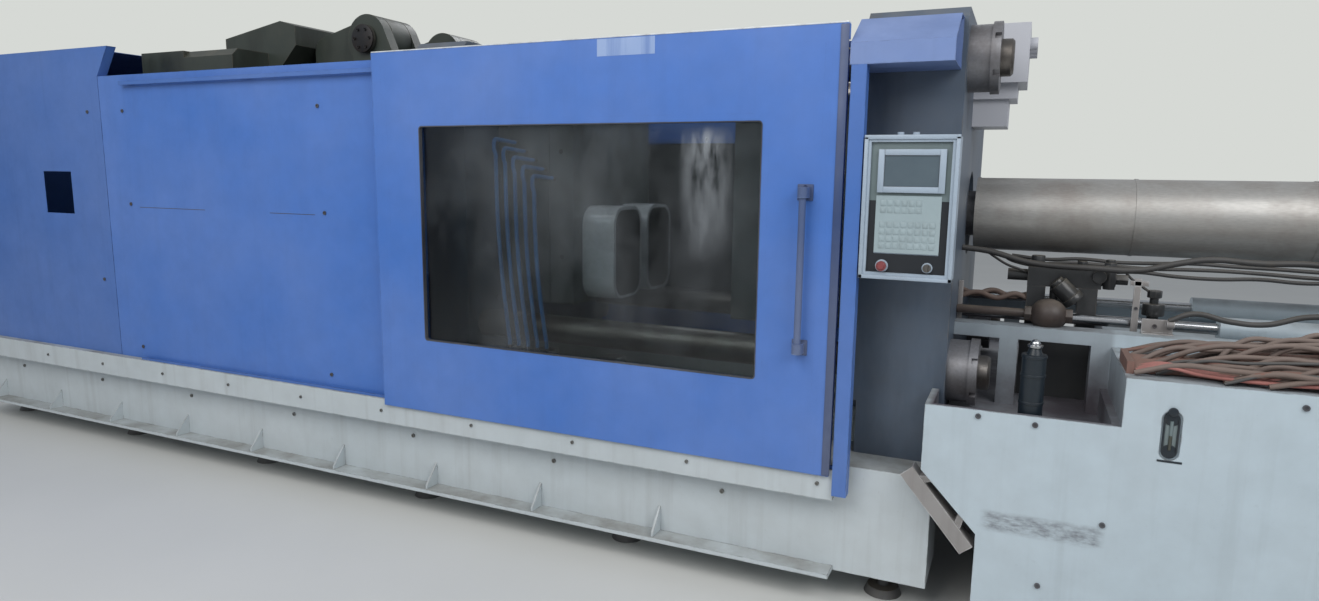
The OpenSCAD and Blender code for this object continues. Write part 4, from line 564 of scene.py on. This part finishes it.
def window_frame(mesh, low, high, y_front, y_back, width, radius):
    """A rubber profile that runs round the inside of a window opening."""
    corners = [mesh.verts.new((x, y_front, z)) for x, z in ((low.x, low.z), (high.x, low.z),
                                                            (high.x, high.z), (low.x, high.z))]
    mesh.faces.new(corners)
    bmesh.ops.bevel(mesh, geom=corners, offset=radius, affect="VERTICES", segments=5, profile=0.5,
                    material=-1)
    opening = max(mesh.faces, key=lambda f: f.calc_area())
    bmesh.ops.inset_region(mesh, faces=[opening], thickness=width, depth=0, use_boundary=True,
                           use_even_offset=True)
    bmesh.ops.delete(mesh, geom=[opening], context="FACES_ONLY")
    deeper = bmesh.ops.extrude_face_region(mesh, geom=mesh.faces[:])
    moved = [g for g in deeper["geom"] if isinstance(g, bmesh.types.BMVert)]
    bmesh.ops.translate(mesh, verts=moved, vec=(0, y_back - y_front, 0))


def side_span(side, inner, outer):
    """The lower and the upper y of a thin piece on one side of the machine."""
    return sorted((side * inner, side * outer))


gate_face = 1.150
for side, name, body in ((-1, "front", "front_gate"), (1, "rear", "rear_gate")):
    gasket = bmesh.new()
    window_frame(gasket, pane_low, pane_high, side * 1.1512, side * 1.130, 0.005, 0.018)
    fit(name + "_window_rubber", gasket, rubber, body=body)
    closing = bmesh.new()
    y_low, y_high = side_span(side, gate_face, 1.1535)
    slab(closing, (gate_high.x - 0.030, y_low, gate_low.z + 0.004),
         (gate_high.x + 0.004, y_high, gate_high.z - 0.004), 0.0012)
    fit(name + "_closing_strip", closing, strip_blue, body=body)
    top_strip = bmesh.new()
    y_low, y_high = side_span(side, 1.106, 1.1515)
    slab(top_strip, (gate_low.x + 0.002, y_low, gate_high.z), (gate_high.x, y_high, gate_high.z + 0.006),
         0.0015)
    fit(name + "_top_strip", top_strip, strip_pale, body=body)

# A pale blue patch on the top of the front gate.
pale_patch = bmesh.new()
slab(pale_patch, (-0.043, -1.1505, 2.432), (0.248, -1.1495, 2.508))
pale_patch_blue = finish_from(
    paint, "pale patch paint", Paint=(140, 164, 206), Dirt=(78, 112, 176), Dust=0.2, Streaks=0.8,
    Wear=0.0, Gloss=0.5)
fit("pale_patch", pale_patch, pale_patch_blue, body="front_gate")


def own_place(tree):
    """The x, y and z of a point in the piece's own coordinates."""
    return add(tree, "SeparateXYZ", {0: add(tree, "TexCoord").outputs["Object"]}).outputs


# A film on the front pane has wiped grime all over it. It also has a narrow pale vertical streak near x
# 0.49, which is painted light standing for light seen through the rear window.
grime_and_light, grime_and_light_tree, grime_and_light_shader = new_finish("pane grime", Base_Color=rgb(176, 182, 188), Roughness=0.5)
film_x, _, film_z = own_place(grime_and_light_tree)
aside = calc(grime_and_light_tree, "ABSOLUTE", calc(grime_and_light_tree, "SUBTRACT", film_x, 0.49))
narrow = spread(grime_and_light_tree, aside, 0.13, 0.02)
fall = times(grime_and_light_tree, spread(grime_and_light_tree, film_z, 1.50, 2.08), spread(grime_and_light_tree, film_z, 2.12, 2.06))
light_streak_breakup = spread(grime_and_light_tree, pattern(grime_and_light_tree, 9, 5, (1.4, 1, 0.35), 2.7), 0.36, 0.66)
wiped = spread(grime_and_light_tree, pattern(grime_and_light_tree, 1.6, 6, (1, 1, 0.6), 7.7), 0.45, 0.8, 0.0, 0.1)
painted_light_streak = times(grime_and_light_tree, times(grime_and_light_tree, narrow, fall), times(grime_and_light_tree, light_streak_breakup, 0.55))
grime_and_light_tree.links.new(calc(grime_and_light_tree, "ADD", wiped, painted_light_streak, True), grime_and_light_shader.inputs["Alpha"])
film = bmesh.new()
film_edge = 0.006
slab(film, (pane_low.x + film_edge, pane_low.y - 0.0006, pane_low.z + film_edge),
     (pane_high.x - film_edge, pane_low.y - 0.0002, pane_high.z - film_edge))
fit("pane_grime_and_light", film, grime_and_light, body="front_gate")
handle_low, handle_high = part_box("front_gate_handle")
handle_x = (handle_low.x + handle_high.x) / 2
foot_face, foot_half = 1.156, 0.034
for side, axis, name, body in ((-1, "-y", "front", "front_gate"), (1, "y", "rear", "rear_gate")):
    feet = bmesh.new()
    y_low, y_high = side_span(side, gate_face, foot_face)
    for z in (handle_low.z + 0.022, handle_high.z - 0.022):
        slab(feet, (handle_x - foot_half, y_low, z - foot_half),
             (handle_x + foot_half, y_high, z + foot_half), 0.0025)
        for dz in (-0.026, 0.026):
            screw_head(feet, (handle_x, side * foot_face, z + dz), 0.006, 0.004, axis, 12)
    fit(name + "_handle_feet", feet, strip_blue, body=body)

# Headers and posts: folded boxes in the blue paint beside the stationary platen, which the gates close
# on. The headers have faded more than the posts.
faded_blue = finish_from(
    paint, "faded blue paint", Paint=(104, 130, 184), Dirt=(74, 88, 120), Dust=0.4, Streaks=0.1,
    Fade=0.6, Bare=(60, 66, 80), Wear=0.6, Gloss=0.45, bump=0.08)
dress(faded_blue, "front_header", "rear_header")
dress(dull_blue, "front_gate_post", "rear_gate_post")

# Control box: a pale painted box with a raised rim, a dark screen, a key sheet with plain keys, a stop
# button and a knob, all set in a grey-green face.
panel_paint = finish_from(
    paint, "pale box paint", Paint=(156, 172, 188), Dirt=(96, 98, 98), Dust=0.4, Streaks=0.12, Wear=0.6,
    Gloss=0.38)
key_sheet = finish_from(
    paint, "key sheet", Paint=(150, 167, 172), Dirt=(96, 104, 106), Dust=0.1, Streaks=0.2, Wear=0.1,
    Gloss=0.45)
bezel = finish_from(
    paint, "dark bezel", Paint=(70, 78, 88), Dirt=(100, 104, 108), Dust=0.3, Streaks=0.3, Wear=0.3,
    Gloss=0.35)
button_red = finish_from(
    paint, "faded red plastic", Paint=(132, 58, 60), Dirt=(60, 44, 44), Dust=0.3, Streaks=0.2, Wear=0.3,
    Gloss=0.3)
dress(panel_paint, "control_box")
dress(bezel, "control_screen")
dress(key_sheet, "control_keypad")
dress(button_red, "stop_button")
dress(bar_steel, "selector_knob")
box_low, box_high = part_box("control_box")
screen_low, screen_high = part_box("control_screen")
keys_low, keys_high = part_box("control_keypad")
box_face = box_low.y
rim = bmesh.new()
rim_left, rim_right, rim_bottom, rim_top = (box_low.x - 0.004, box_low.x + 0.362, box_low.z - 0.004,
                                            box_high.z - 0.012)
for low_x, low_z, high_x, high_z in (
        (rim_left, rim_bottom, rim_left + 0.016, rim_top - 0.008),
        (rim_right - 0.016, rim_bottom, rim_right, rim_top - 0.008),
        (rim_left, rim_top - 0.018, rim_right, rim_top),
        (rim_left, rim_bottom, rim_right, rim_bottom + 0.016)):
    slab(rim, (low_x, box_face - 0.006, low_z), (high_x, box_face, high_z), 0.002)
fit("control_box_rim", rim, panel_paint)
face_grey = finish_from(
    paint, "grey-green face", Paint=(98, 114, 116), Dirt=(60, 66, 66), Dust=0.1, Streaks=0.15, Wear=0.0,
    Gloss=0.45)
face_dark = finish_from(
    paint, "dark face strip", Paint=(28, 32, 38), Dirt=(24, 26, 30), Fade=0.0, Dust=0.1, Streaks=0.2,
    Wear=0.0, Gloss=0.4)
floor_y = box_face + 0.012
sheet_y = floor_y - 0.001
sheet_left, sheet_right = box_low.x + 0.0245, box_low.x + 0.3335
sheet_bottom, sheet_top = box_low.z + 0.0245, box_low.z + 0.5465
keys_bottom, keys_top = keys_low.z - 0.004, keys_high.z - 0.02
backing = bmesh.new()
slab(backing, (sheet_left, sheet_y, keys_top), (sheet_right, floor_y, sheet_top))
fit("face_sheet", backing, face_grey)
strips = bmesh.new()
slab(strips, (sheet_left, sheet_y, keys_bottom), (keys_low.x, floor_y, keys_top))
slab(strips, (keys_high.x, sheet_y, keys_bottom), (sheet_right, floor_y, keys_top))
slab(strips, (sheet_left, sheet_y, sheet_bottom), (sheet_right, floor_y, keys_bottom))
fit("face_strips", strips, face_dark)
screen_frame = bmesh.new()
rail = 0.012
left, right, bottom, top = screen_low.x, screen_high.x, screen_low.z, screen_high.z
for low_x, low_z, high_x, high_z in (
        (left - rail, bottom - rail, left + rail, top + rail),
        (right - rail, bottom - rail, right + rail, top + rail),
        (left + rail, bottom - rail, right - rail, bottom + rail),
        (left + rail, top - rail, right - rail, top + rail)):
    slab(screen_frame, (low_x, screen_low.y - 0.004, low_z), (high_x, screen_low.y + 0.002, high_z), 0.0012)
fit("screen_frame", screen_frame, panel_paint)
screen_glass, screen_tree, screen_shader = new_finish("dark display", Roughness=0.12, Coat_Weight=0.6)
screen_tree.links.new(mixed(screen_tree, pattern(screen_tree, 6, 3), rgb(70, 84, 94), rgb(92, 106, 114)),
                      screen_shader.inputs["Base Color"])
glass_sheet = bmesh.new()
slab(glass_sheet, (left + rail, screen_low.y + 0.001, bottom + rail),
     (right - rail, screen_low.y + 0.0045, top - rail))
fit("screen_display", glass_sheet, screen_glass)
keys = bmesh.new()
key_face = keys_low.y
key_gap = 0.003
margin = 0.015
columns, rows = 8, 7
wide = (keys_high.x - keys_low.x - 2 * margin) / columns
tall = (keys_high.z - keys_low.z - 2 * margin) / rows
for column in range(columns):
    for row in range(rows):
        if row == 4 or (row > 4 and column > 5):
            continue
        x = keys_low.x + margin + column * wide
        z = keys_low.z + margin + row * tall
        slab(keys, (x + key_gap, key_face - 0.0014, z + key_gap),
             (x + wide - key_gap, key_face, z + tall - key_gap), 0.001)
key_caps = finish_from(
    paint, "key caps", Paint=(150, 167, 172), Dirt=(120, 130, 134), Dust=0.0, Streaks=0.25, Wear=0.2,
    Gloss=0.4)
fit("control_keys", keys, key_caps)
stop_low, stop_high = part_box("stop_button")
knob_low, knob_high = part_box("selector_knob")
rings = bmesh.new()
for low, high, radius in ((stop_low, stop_high, 0.026), (knob_low, knob_high, 0.021)):
    centre = ((low.x + high.x) / 2, box_face + 0.011, (low.z + high.z) / 2)
    rod(rings, centre, 0.003, radius, "-y", segments=36, edge=0.001)
fit("button_rings", rings, panel_paint)
cap = bmesh.new()
cap_place = ((stop_low.x + stop_high.x) / 2, stop_low.y + 0.002, (stop_low.z + stop_high.z) / 2)
rod(cap, cap_place, 0.007, 0.0175, "-y", end_radius=0.012, segments=36, edge=0.002)
fit("stop_button_crown", cap, button_red, body="stop_button")

# Injection bed: a sheet-clad frame in pale blue-grey paint, with painted shade inside its notch and a
# darker band below it, an oil level gauge in a slot, a deflector on its slanted end and a round lubricator.
bed_paint = finish_from(
    paint, "pale blue-grey paint", Paint=(178, 193, 202), Dirt=(92, 88, 84), Dust=0.8, Streaks=0.12,
    Fade=0.4, Wear=0.8, Gloss=0.42)


def between(tree, value, low, high, soft):
    """One inside a range of a coordinate and nothing outside it, with soft ends."""
    return times(tree, spread(tree, value, low - soft, low + soft),
                 spread(tree, value, high + soft, high - soft))


notch_shaded_bed = bed_paint.copy()
notch_shaded_bed.name = "bed paint with notch shade and dark band"
bed_tree = notch_shaded_bed.node_tree
bed_shader = bed_tree.nodes["Principled BSDF"]
clean_colour = bed_shader.inputs["Base Color"].links[0].from_socket
bed_x, bed_y, bed_z = own_place(bed_tree)
# Inside the notch the paint darkens towards the bottom, with blotches: painted shade in the recess.
in_notch = times(bed_tree, between(bed_tree, bed_x, 1.50, 2.19, 0.01),
                 between(bed_tree, bed_y, -1.133, 1.133, 0.002))
low_down = times(bed_tree, in_notch, spread(bed_tree, bed_z, 1.20, 0.98, 0.35, 1.0))
notch_painted_shade = times(bed_tree, low_down,
              spread(bed_tree, pattern(bed_tree, 3.2, 6, shift=9.0), 0.25, 0.6, 0.55, 1.0))
# A darker blotchy band below the notch.
below_notch = times(bed_tree, between(bed_tree, bed_x, 1.735, 2.15, 0.02),
                    between(bed_tree, bed_z, 0.500, 0.575, 0.012))
dark_band = times(bed_tree, below_notch,
                spread(bed_tree, pattern(bed_tree, 26, 6, (1, 1, 2.5), 3.3), 0.36, 0.7, 0.12, 0.75))
darkened = mixed(bed_tree, calc(bed_tree, "MAXIMUM", notch_painted_shade, dark_band), clean_colour, rgb(80, 76, 82))
bed_tree.links.new(darkened, bed_shader.inputs["Base Color"])
dress(notch_shaded_bed, "injection_bed")
deflector_paint = finish_from(
    paint, "rubbed grey paint", Paint=(130, 126, 124), Dirt=(88, 82, 78), Dust=0.4, Streaks=0.3,
    Wear=0.9, Bare=(214, 216, 218), Gloss=0.45)
dress(deflector_paint, "deflector")
lubricator_paint = finish_from(
    paint, "black pot", Paint=(24, 34, 42), Dirt=(60, 64, 68), Dust=0.1, Streaks=0.1, Fade=0.0, Wear=0.5,
    Gloss=0.35)
dress(lubricator_paint, "lubricator")
inj_face = -1.14
bed_front_screws = bmesh.new()
for x, z in ((1.685, 0.964), (1.893, 0.956), (2.729, 1.135), (2.154, 0.595), (3.5, 1.135), (4.3, 1.135),
             (5.2, 1.135), (3.2, 0.3), (4.4, 0.3), (5.2, 0.3), (1.95, 0.3)):
    for side, axis in ((1, "-y"), (-1, "y")):
        screw_head(bed_front_screws, (x, side * inj_face, z), 0.011, 0.006, axis)
fit("bed_sheet_screws", bed_front_screws, dark_screw)
gauge_x, gauge_z = 2.344, 0.978
gauge_half = 0.062
gauge_floor = inj_face + 0.012
gauge_low, gauge_high = gauge_z - gauge_half, gauge_z + gauge_half
gauge_rim = bmesh.new()
rod(gauge_rim, (gauge_x, inj_face, gauge_z + 0.092), 0.012, 0.016, "-y", segments=32, edge=0.002)
for z in (gauge_high, gauge_low):
    rod(gauge_rim, (gauge_x, gauge_floor, z), 0.008, 0.026, "-y", segments=40, edge=0.002)
for beside in (-0.026, 0.020):
    slab(gauge_rim, (gauge_x + beside, inj_face + 0.001, gauge_low),
         (gauge_x + beside + 0.006, gauge_floor, gauge_high), 0.001)
fit("gauge_frame", gauge_rim, lubricator_paint)
gauge_back = bmesh.new()
slab(gauge_back, (gauge_x - 0.020, inj_face + 0.007, gauge_low),
     (gauge_x + 0.020, gauge_floor, gauge_high), 0.001)
fit("gauge_back", gauge_back, face_grey)
oil_glass, oil_tree, oil_shader = new_finish("gauge glass", Roughness=0.08, Coat_Weight=0.5)
above_oil = spread(oil_tree, own_place(oil_tree)[2], gauge_z - 0.002, gauge_z + 0.002)
oil_tree.links.new(mixed(oil_tree, above_oil, rgb(56, 58, 50), rgb(104, 118, 120)),
                   oil_shader.inputs["Base Color"])
gauge_tube = bmesh.new()
rod(gauge_tube, (gauge_x, inj_face + 0.005, gauge_z - 0.055), 0.11, 0.006)
fit("gauge_tube", gauge_tube, oil_glass)
gauge_bar = bmesh.new()
slab(gauge_bar, (2.308, inj_face - 0.002, 0.876), (2.388, inj_face, 0.884), 0.0008)
fit("gauge_mark", gauge_bar, lubricator_paint)
pot_low, pot_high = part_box("lubricator")
pot_x, pot_y = (pot_low.x + pot_high.x) / 2, pot_low.y + 0.050
dome = bmesh.new()
rod(dome, (pot_x, pot_y, pot_high.z - 0.006), 0.012, 0.028, "z", segments=40, edge=0.003)
bmesh.ops.create_uvsphere(dome, u_segments=32, v_segments=16, radius=0.020,
                          matrix=Matrix.Translation((pot_x, pot_y, pot_high.z + 0.006)))
fit("lubricator_cap", dome, chrome)
pot_bands = bmesh.new()
for z in (0.93, 1.02, 1.13, 1.205):
    rod(pot_bands, (pot_x, pot_y, z), 0.012, 0.0475, "z", segments=40, edge=0.002)
fit("lubricator_bands", pot_bands, lubricator_paint)

# Valves, manifold and cables: hydraulic blocks on the platen and under the barrel, and the bundle of
# heater cables that lies on the deck.
valve_paint = finish_from(
    cast, "oily valve block", Paint=(54, 56, 58), Oily=0.6, Dust=0.6, Bare=(96, 92, 86), Wear=0.7,
    Gloss=0.36)
valve_tree = valve_paint.node_tree
valve_shader = valve_tree.nodes["Principled BSDF"]
valve_colour = valve_shader.inputs["Base Color"].links[0].from_socket
# Above z 2.0 the manifold turns pale grey. This is partly its bare metal and partly a painted highlight for
# lamp glare on it.
manifold_pale_and_glare = spread(valve_tree, own_place(valve_tree)[2], 2.0, 2.1, 0.0, 0.75)
valve_tree.links.new(mixed(valve_tree, manifold_pale_and_glare, valve_colour, rgb(204, 206, 214)),
                     valve_shader.inputs["Base Color"])
dress(valve_paint, "valve_stack")
cable_brown = finish_from(
    paint, "brown heater cable", Paint=(112, 66, 48), Dirt=(84, 78, 70), Dust=0.6, Streaks=0.5, Wear=0.0,
    Gloss=0.6)
dress(cable_brown, "cable_bundle")
dress(chrome, "pull_in_rods")
cable_black = finish_from(
    paint, "black cable", Paint=(28, 28, 30), Dirt=(92, 86, 76), Dust=0.6, Streaks=0.3, Wear=0.0,
    Gloss=0.5)
cable_red = finish_from(
    paint, "red cable", Paint=(156, 84, 74), Dirt=(110, 92, 84), Dust=0.5, Streaks=0.4, Wear=0.0,
    Gloss=0.55)


def run_cables(name, routes, radius, material, body="root"):
    """Round cables that follow smooth routes of a few points each, all in one piece."""
    curve = bpy.data.curves.new(name, "CURVE")
    curve.dimensions = "3D"
    curve.bevel_depth = radius
    curve.bevel_resolution = 3
    curve.resolution_u = 8
    curve.use_fill_caps = True
    for route in routes:
        spline = curve.splines.new("BEZIER")
        spline.bezier_points.add(len(route) - 1)
        for point, place in zip(spline.bezier_points, route):
            point.co = place
            point.handle_left_type = point.handle_right_type = "AUTO"
    piece = bpy.data.objects.new(name, curve)
    bpy.context.collection.objects.link(piece)
    curve.materials.append(material)
    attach(piece, body)


deck = 1.179
heap_front, heap_back = -1.118, -0.60
cable_dusty = finish_from(
    paint, "dusty cable", Paint=(92, 72, 62), Dirt=(126, 112, 102), Dust=0.6, Streaks=0.5, Wear=0.0,
    Gloss=0.65)
cable_pale = finish_from(
    paint, "pale cable", Paint=(176, 164, 156), Dirt=(120, 108, 98), Dust=0.5, Streaks=0.6, Wear=0.0,
    Gloss=0.55)


def heaped(count, start, seed, radius, fullness):
    """Routes of cables that lie over each other in a heap along the deck, higher away from the step."""
    luck = random.Random(seed)
    routes = []
    for k in range(count):
        across = (k + luck.random()) / count
        low_x = start + luck.uniform(0, 0.5)
        high_x = luck.uniform(4.0, 5.2)
        ridge = math.sin(math.pi * min(max(across, 0.05), 0.95))
        lift = luck.random() * fullness
        wave = luck.uniform(0, 6)
        route = []
        for n in range(16):
            x = low_x + (high_x - low_x) * n / 15
            far = min(max((x - 2.2) / 0.6, 0), 1) * min(max((5.2 - x) / 0.5, 0), 1)
            y = -1.115 + 0.49 * across + 0.045 * math.sin(wave + 3.1 * x) + luck.uniform(-0.02, 0.02)
            height = deck + radius + 0.035 + lift * ridge * (0.03 + 0.10 * far) + luck.uniform(0, 0.01)
            y = min(max(y, heap_front), heap_back)
            route.append((x, y, height if 0 < n < 15 else deck + radius + 0.002))
        routes.append(route)
    return routes


for name, count, start, seed, radius, fullness, sheath in (
        ("heaped_dusty_cables", 36, 2.20, 1, 0.010, 1.0, cable_dusty),
        ("heaped_brown_cables", 22, 2.20, 2, 0.008, 1.0, cable_brown),
        ("heaped_black_cables", 8, 2.22, 3, 0.006, 1.05, cable_black),
        ("heaped_pale_cables", 6, 2.45, 4, 0.006, 1.1, cable_pale)):
    run_cables(name, heaped(count, start, seed, radius, fullness), radius, sheath)
red_routes = [[(2.222, -1.07 + 0.03 * k, deck + 0.018), (2.30, -1.095 + 0.03 * k, deck + 0.045),
               (2.42, -1.10 + 0.03 * k, deck + 0.03), (2.62, -1.105 + 0.028 * k, deck + 0.022),
               (2.9, -1.10 + 0.03 * k, deck + 0.03), (3.3, -1.04, deck + 0.02)] for k in range(3)]
run_cables("red_cables", red_routes, 0.008, cable_red)
heater_leads = []
for k in range(3):
    luck = random.Random(40 + k)
    heater_leads.append([(1.75 + 0.12 * k + 0.155 * n, -0.10 - 0.03 * k + luck.uniform(-0.012, 0.012),
                          1.520 - 0.022 * k + luck.uniform(-0.012, 0.008)) for n in range(12)])
run_cables("heater_leads", heater_leads, 0.009, cable_black, body="carriage")
manifold_face = 1.531
thick_route = [(manifold_face, -0.36, 1.575), (1.655, -0.35, 1.560), (1.833, -0.35, 1.516),
               (2.101, -0.35, 1.504), (2.283, -0.35, 1.506), (2.432, -0.35, 1.545), (2.54, -0.35, 1.566),
               (2.72, -0.35, 1.560), (2.915, -0.35, 1.564), (3.12, -0.37, 1.530), (3.27, -0.48, 1.430),
               (3.34, -0.60, 1.340), (3.38, -0.65, 1.240), (3.40, -0.67, 1.182)]
run_cables("thick_cable", [thick_route], 0.014, cable_black)
lower_route = [(2.400, -0.45, 1.300), (2.485, -0.45, 1.339), (2.62, -0.45, 1.316), (2.743, -0.45, 1.314),
               (2.889, -0.46, 1.360), (2.99, -0.50, 1.360), (3.06, -0.58, 1.300), (3.10, -0.63, 1.230),
               (3.12, -0.65, 1.182)]
run_cables("lower_cable", [lower_route], 0.012, cable_black)
hose_routes = [[(manifold_face, -0.25, 1.36), (1.60, -0.27, 1.342), (1.68, -0.25, 1.362),
                (1.76, -0.27, 1.340), (1.835, -0.25, 1.352)],
               [(manifold_face, -0.29, 1.33), (1.61, -0.285, 1.352), (1.70, -0.29, 1.330),
                (1.78, -0.28, 1.355), (1.835, -0.27, 1.335)]]
run_cables("platen_hoses", hose_routes, 0.013, cable_dusty)
lead_routes = [[(1.64, -0.15, 1.540), (1.68, -0.22, 1.520), (1.74, -0.26, 1.490), (1.80, -0.26, 1.470),
                (1.835, -0.25, 1.450)],
               [(1.70, -0.12, 1.538), (1.74, -0.20, 1.512), (1.79, -0.24, 1.500), (1.85, -0.24, 1.489)],
               [(2.13, -0.25, 1.489), (2.17, -0.27, 1.510), (2.22, -0.24, 1.500), (2.27, -0.20, 1.450),
                (2.34, -0.24, 1.400)]]
run_cables("thin_leads", lead_routes, 0.006, cable_black)

# Small valve parts: a rusty ball valve on its pipe, a tilted solenoid cap, unions on pipe ends, a stop
# valve on the deck, and the pale brackets that hold hoses beside the front rail.
rust = finish_from(
    cast, "rusty valve body", Paint=(74, 64, 60), Oily=0.6, Dust=0.5, Bare=(112, 94, 82), Wear=0.6,
    Gloss=0.5, bump=0.5, depth=0.003)
stop_valve = bmesh.new()
valve_at = Vector((1.926, -0.45, 1.290))
bmesh.ops.create_uvsphere(stop_valve, u_segments=32, v_segments=20, radius=0.080,
                          matrix=Matrix.Translation(valve_at) @ Matrix.Diagonal((1.0, 0.9, 0.92, 1)))
rod(stop_valve, (manifold_face, valve_at.y, valve_at.z), valve_at.x - manifold_face, 0.020, "x",
    edge=0.002)
for aside_x, length, radius in ((-0.100, 0.03, 0.036), (0.060, 0.04, 0.034)):
    rod(stop_valve, (valve_at.x + aside_x, valve_at.y, valve_at.z), length, radius, "x", segments=6,
        edge=0.002)
rod(stop_valve, (1.890, valve_at.y, 1.315), -0.288 - valve_at.y, 0.018, "y", edge=0.002)
fit("stop_valve", stop_valve, rust)
fittings = bmesh.new()
tilt = Matrix.Translation((1.995, -0.330, 1.385)) @ Matrix.Rotation(math.radians(-45), 4, "Y")
for depth, radius, back in ((0.10, 0.044, 0.0), (0.03, 0.050, -0.045), (0.02, 0.034, 0.058)):
    made = bmesh.ops.create_cone(fittings, cap_ends=True, segments=32, radius1=radius, radius2=radius,
                                 depth=depth, matrix=tilt @ Matrix.Translation((0, 0, back)))
    rounded(fittings, [e for v in made["verts"] for e in v.link_edges if e.calc_face_angle() > 1.0], 0.004)
for place, length, radius, axis, sides, edge in (
        ((2.175, -0.250, 1.400), 0.125, 0.028, "z", 6, 0.002),
        ((2.175, -0.250, 1.520), 0.018, 0.020, "z", 24, 0.002),
        ((2.203, -0.228, 1.445), 0.05, 0.026, "x", 6, 0.002),
        ((2.130, -0.262, 1.460), 0.05, 0.030, "-y", 24, 0.003),
        ((2.365, -0.235, deck), 0.125, 0.024, "z", 24, 0.002),
        ((2.365, -0.235, 1.290), 0.055, 0.046, "z", 24, 0.004),
        ((2.365, -0.235, 1.344), 0.030, 0.018, "z", 24, 0.002),
        ((2.365, -0.235, 1.372), 0.034, 0.030, "z", 8, 0.003),
        ((1.870, -0.250, 1.489), 0.055, 0.030, "z", 24, 0.003),
        ((2.060, -0.228, 1.489), 0.035, 0.024, "z", 6, 0.002)):
    rod(fittings, place, length, radius, axis, segments=sides, edge=edge)
fit("valve_fittings", fittings, valve_paint)
brackets = bmesh.new()
for low, high, edge in (
        ((manifold_face, -0.425, 1.160), (1.552, -0.395, 1.420), 0.002),
        ((2.262, -0.402, deck), (2.290, -0.392, 1.472), 0.002),
        ((2.245, -0.402, 1.440), (2.318, -0.392, 1.462), 0.002),
        ((2.262, -0.402, deck), (2.290, -0.368, deck + 0.004), 0.001),
        ((2.300, -0.437, 1.239), (2.420, -0.427, 1.302), 0.002),
        ((2.300, -0.475, 1.239), (2.420, -0.427, 1.244), 0.001)):
    slab(brackets, low, high, edge)
rod(brackets, (2.392, -0.45, 1.285), 0.03, 0.017, "x", edge=0.002)
fit("hose_brackets", brackets, deflector_paint)
bracket_screws = bmesh.new()
screw_head(bracket_screws, (2.350, -0.437, 1.272), 0.009, 0.006, "-y")
screw_head(bracket_screws, (2.276, -0.402, 1.34), 0.007, 0.005, "-y")
fit("bracket_screws", bracket_screws, dark_screw)

# Injection unit: the barrel under its stained sheet cover, the feed block on a carriage, the screw drive
# and the hopper.
cover_metal = finish_from(
    steel, "stained cover sheet", Metal=(178, 176, 172), Stain=(118, 104, 94), Stained=0.4, Gloss=0.34,
    Grain_X=0.4, Grain_Y=2.0, Grain_Z=2.0, Metallic=0.6)
dress(cover_metal, "barrel_cover")
dress(nut_steel, "barrel", "screw")
dress(bed_paint, "carriage")
dress(iron_paint, "screw_drive")
hopper_metal = finish_from(
    steel, "brushed hopper sheet", Metal=(186, 188, 190), Stain=(120, 112, 100), Stained=0.25,
    Gloss=0.28, Grain_X=0.6, Grain_Y=0.6, Grain_Z=5.0, Metallic=0.9)
dress(hopper_metal, "hopper", "hopper_lid")
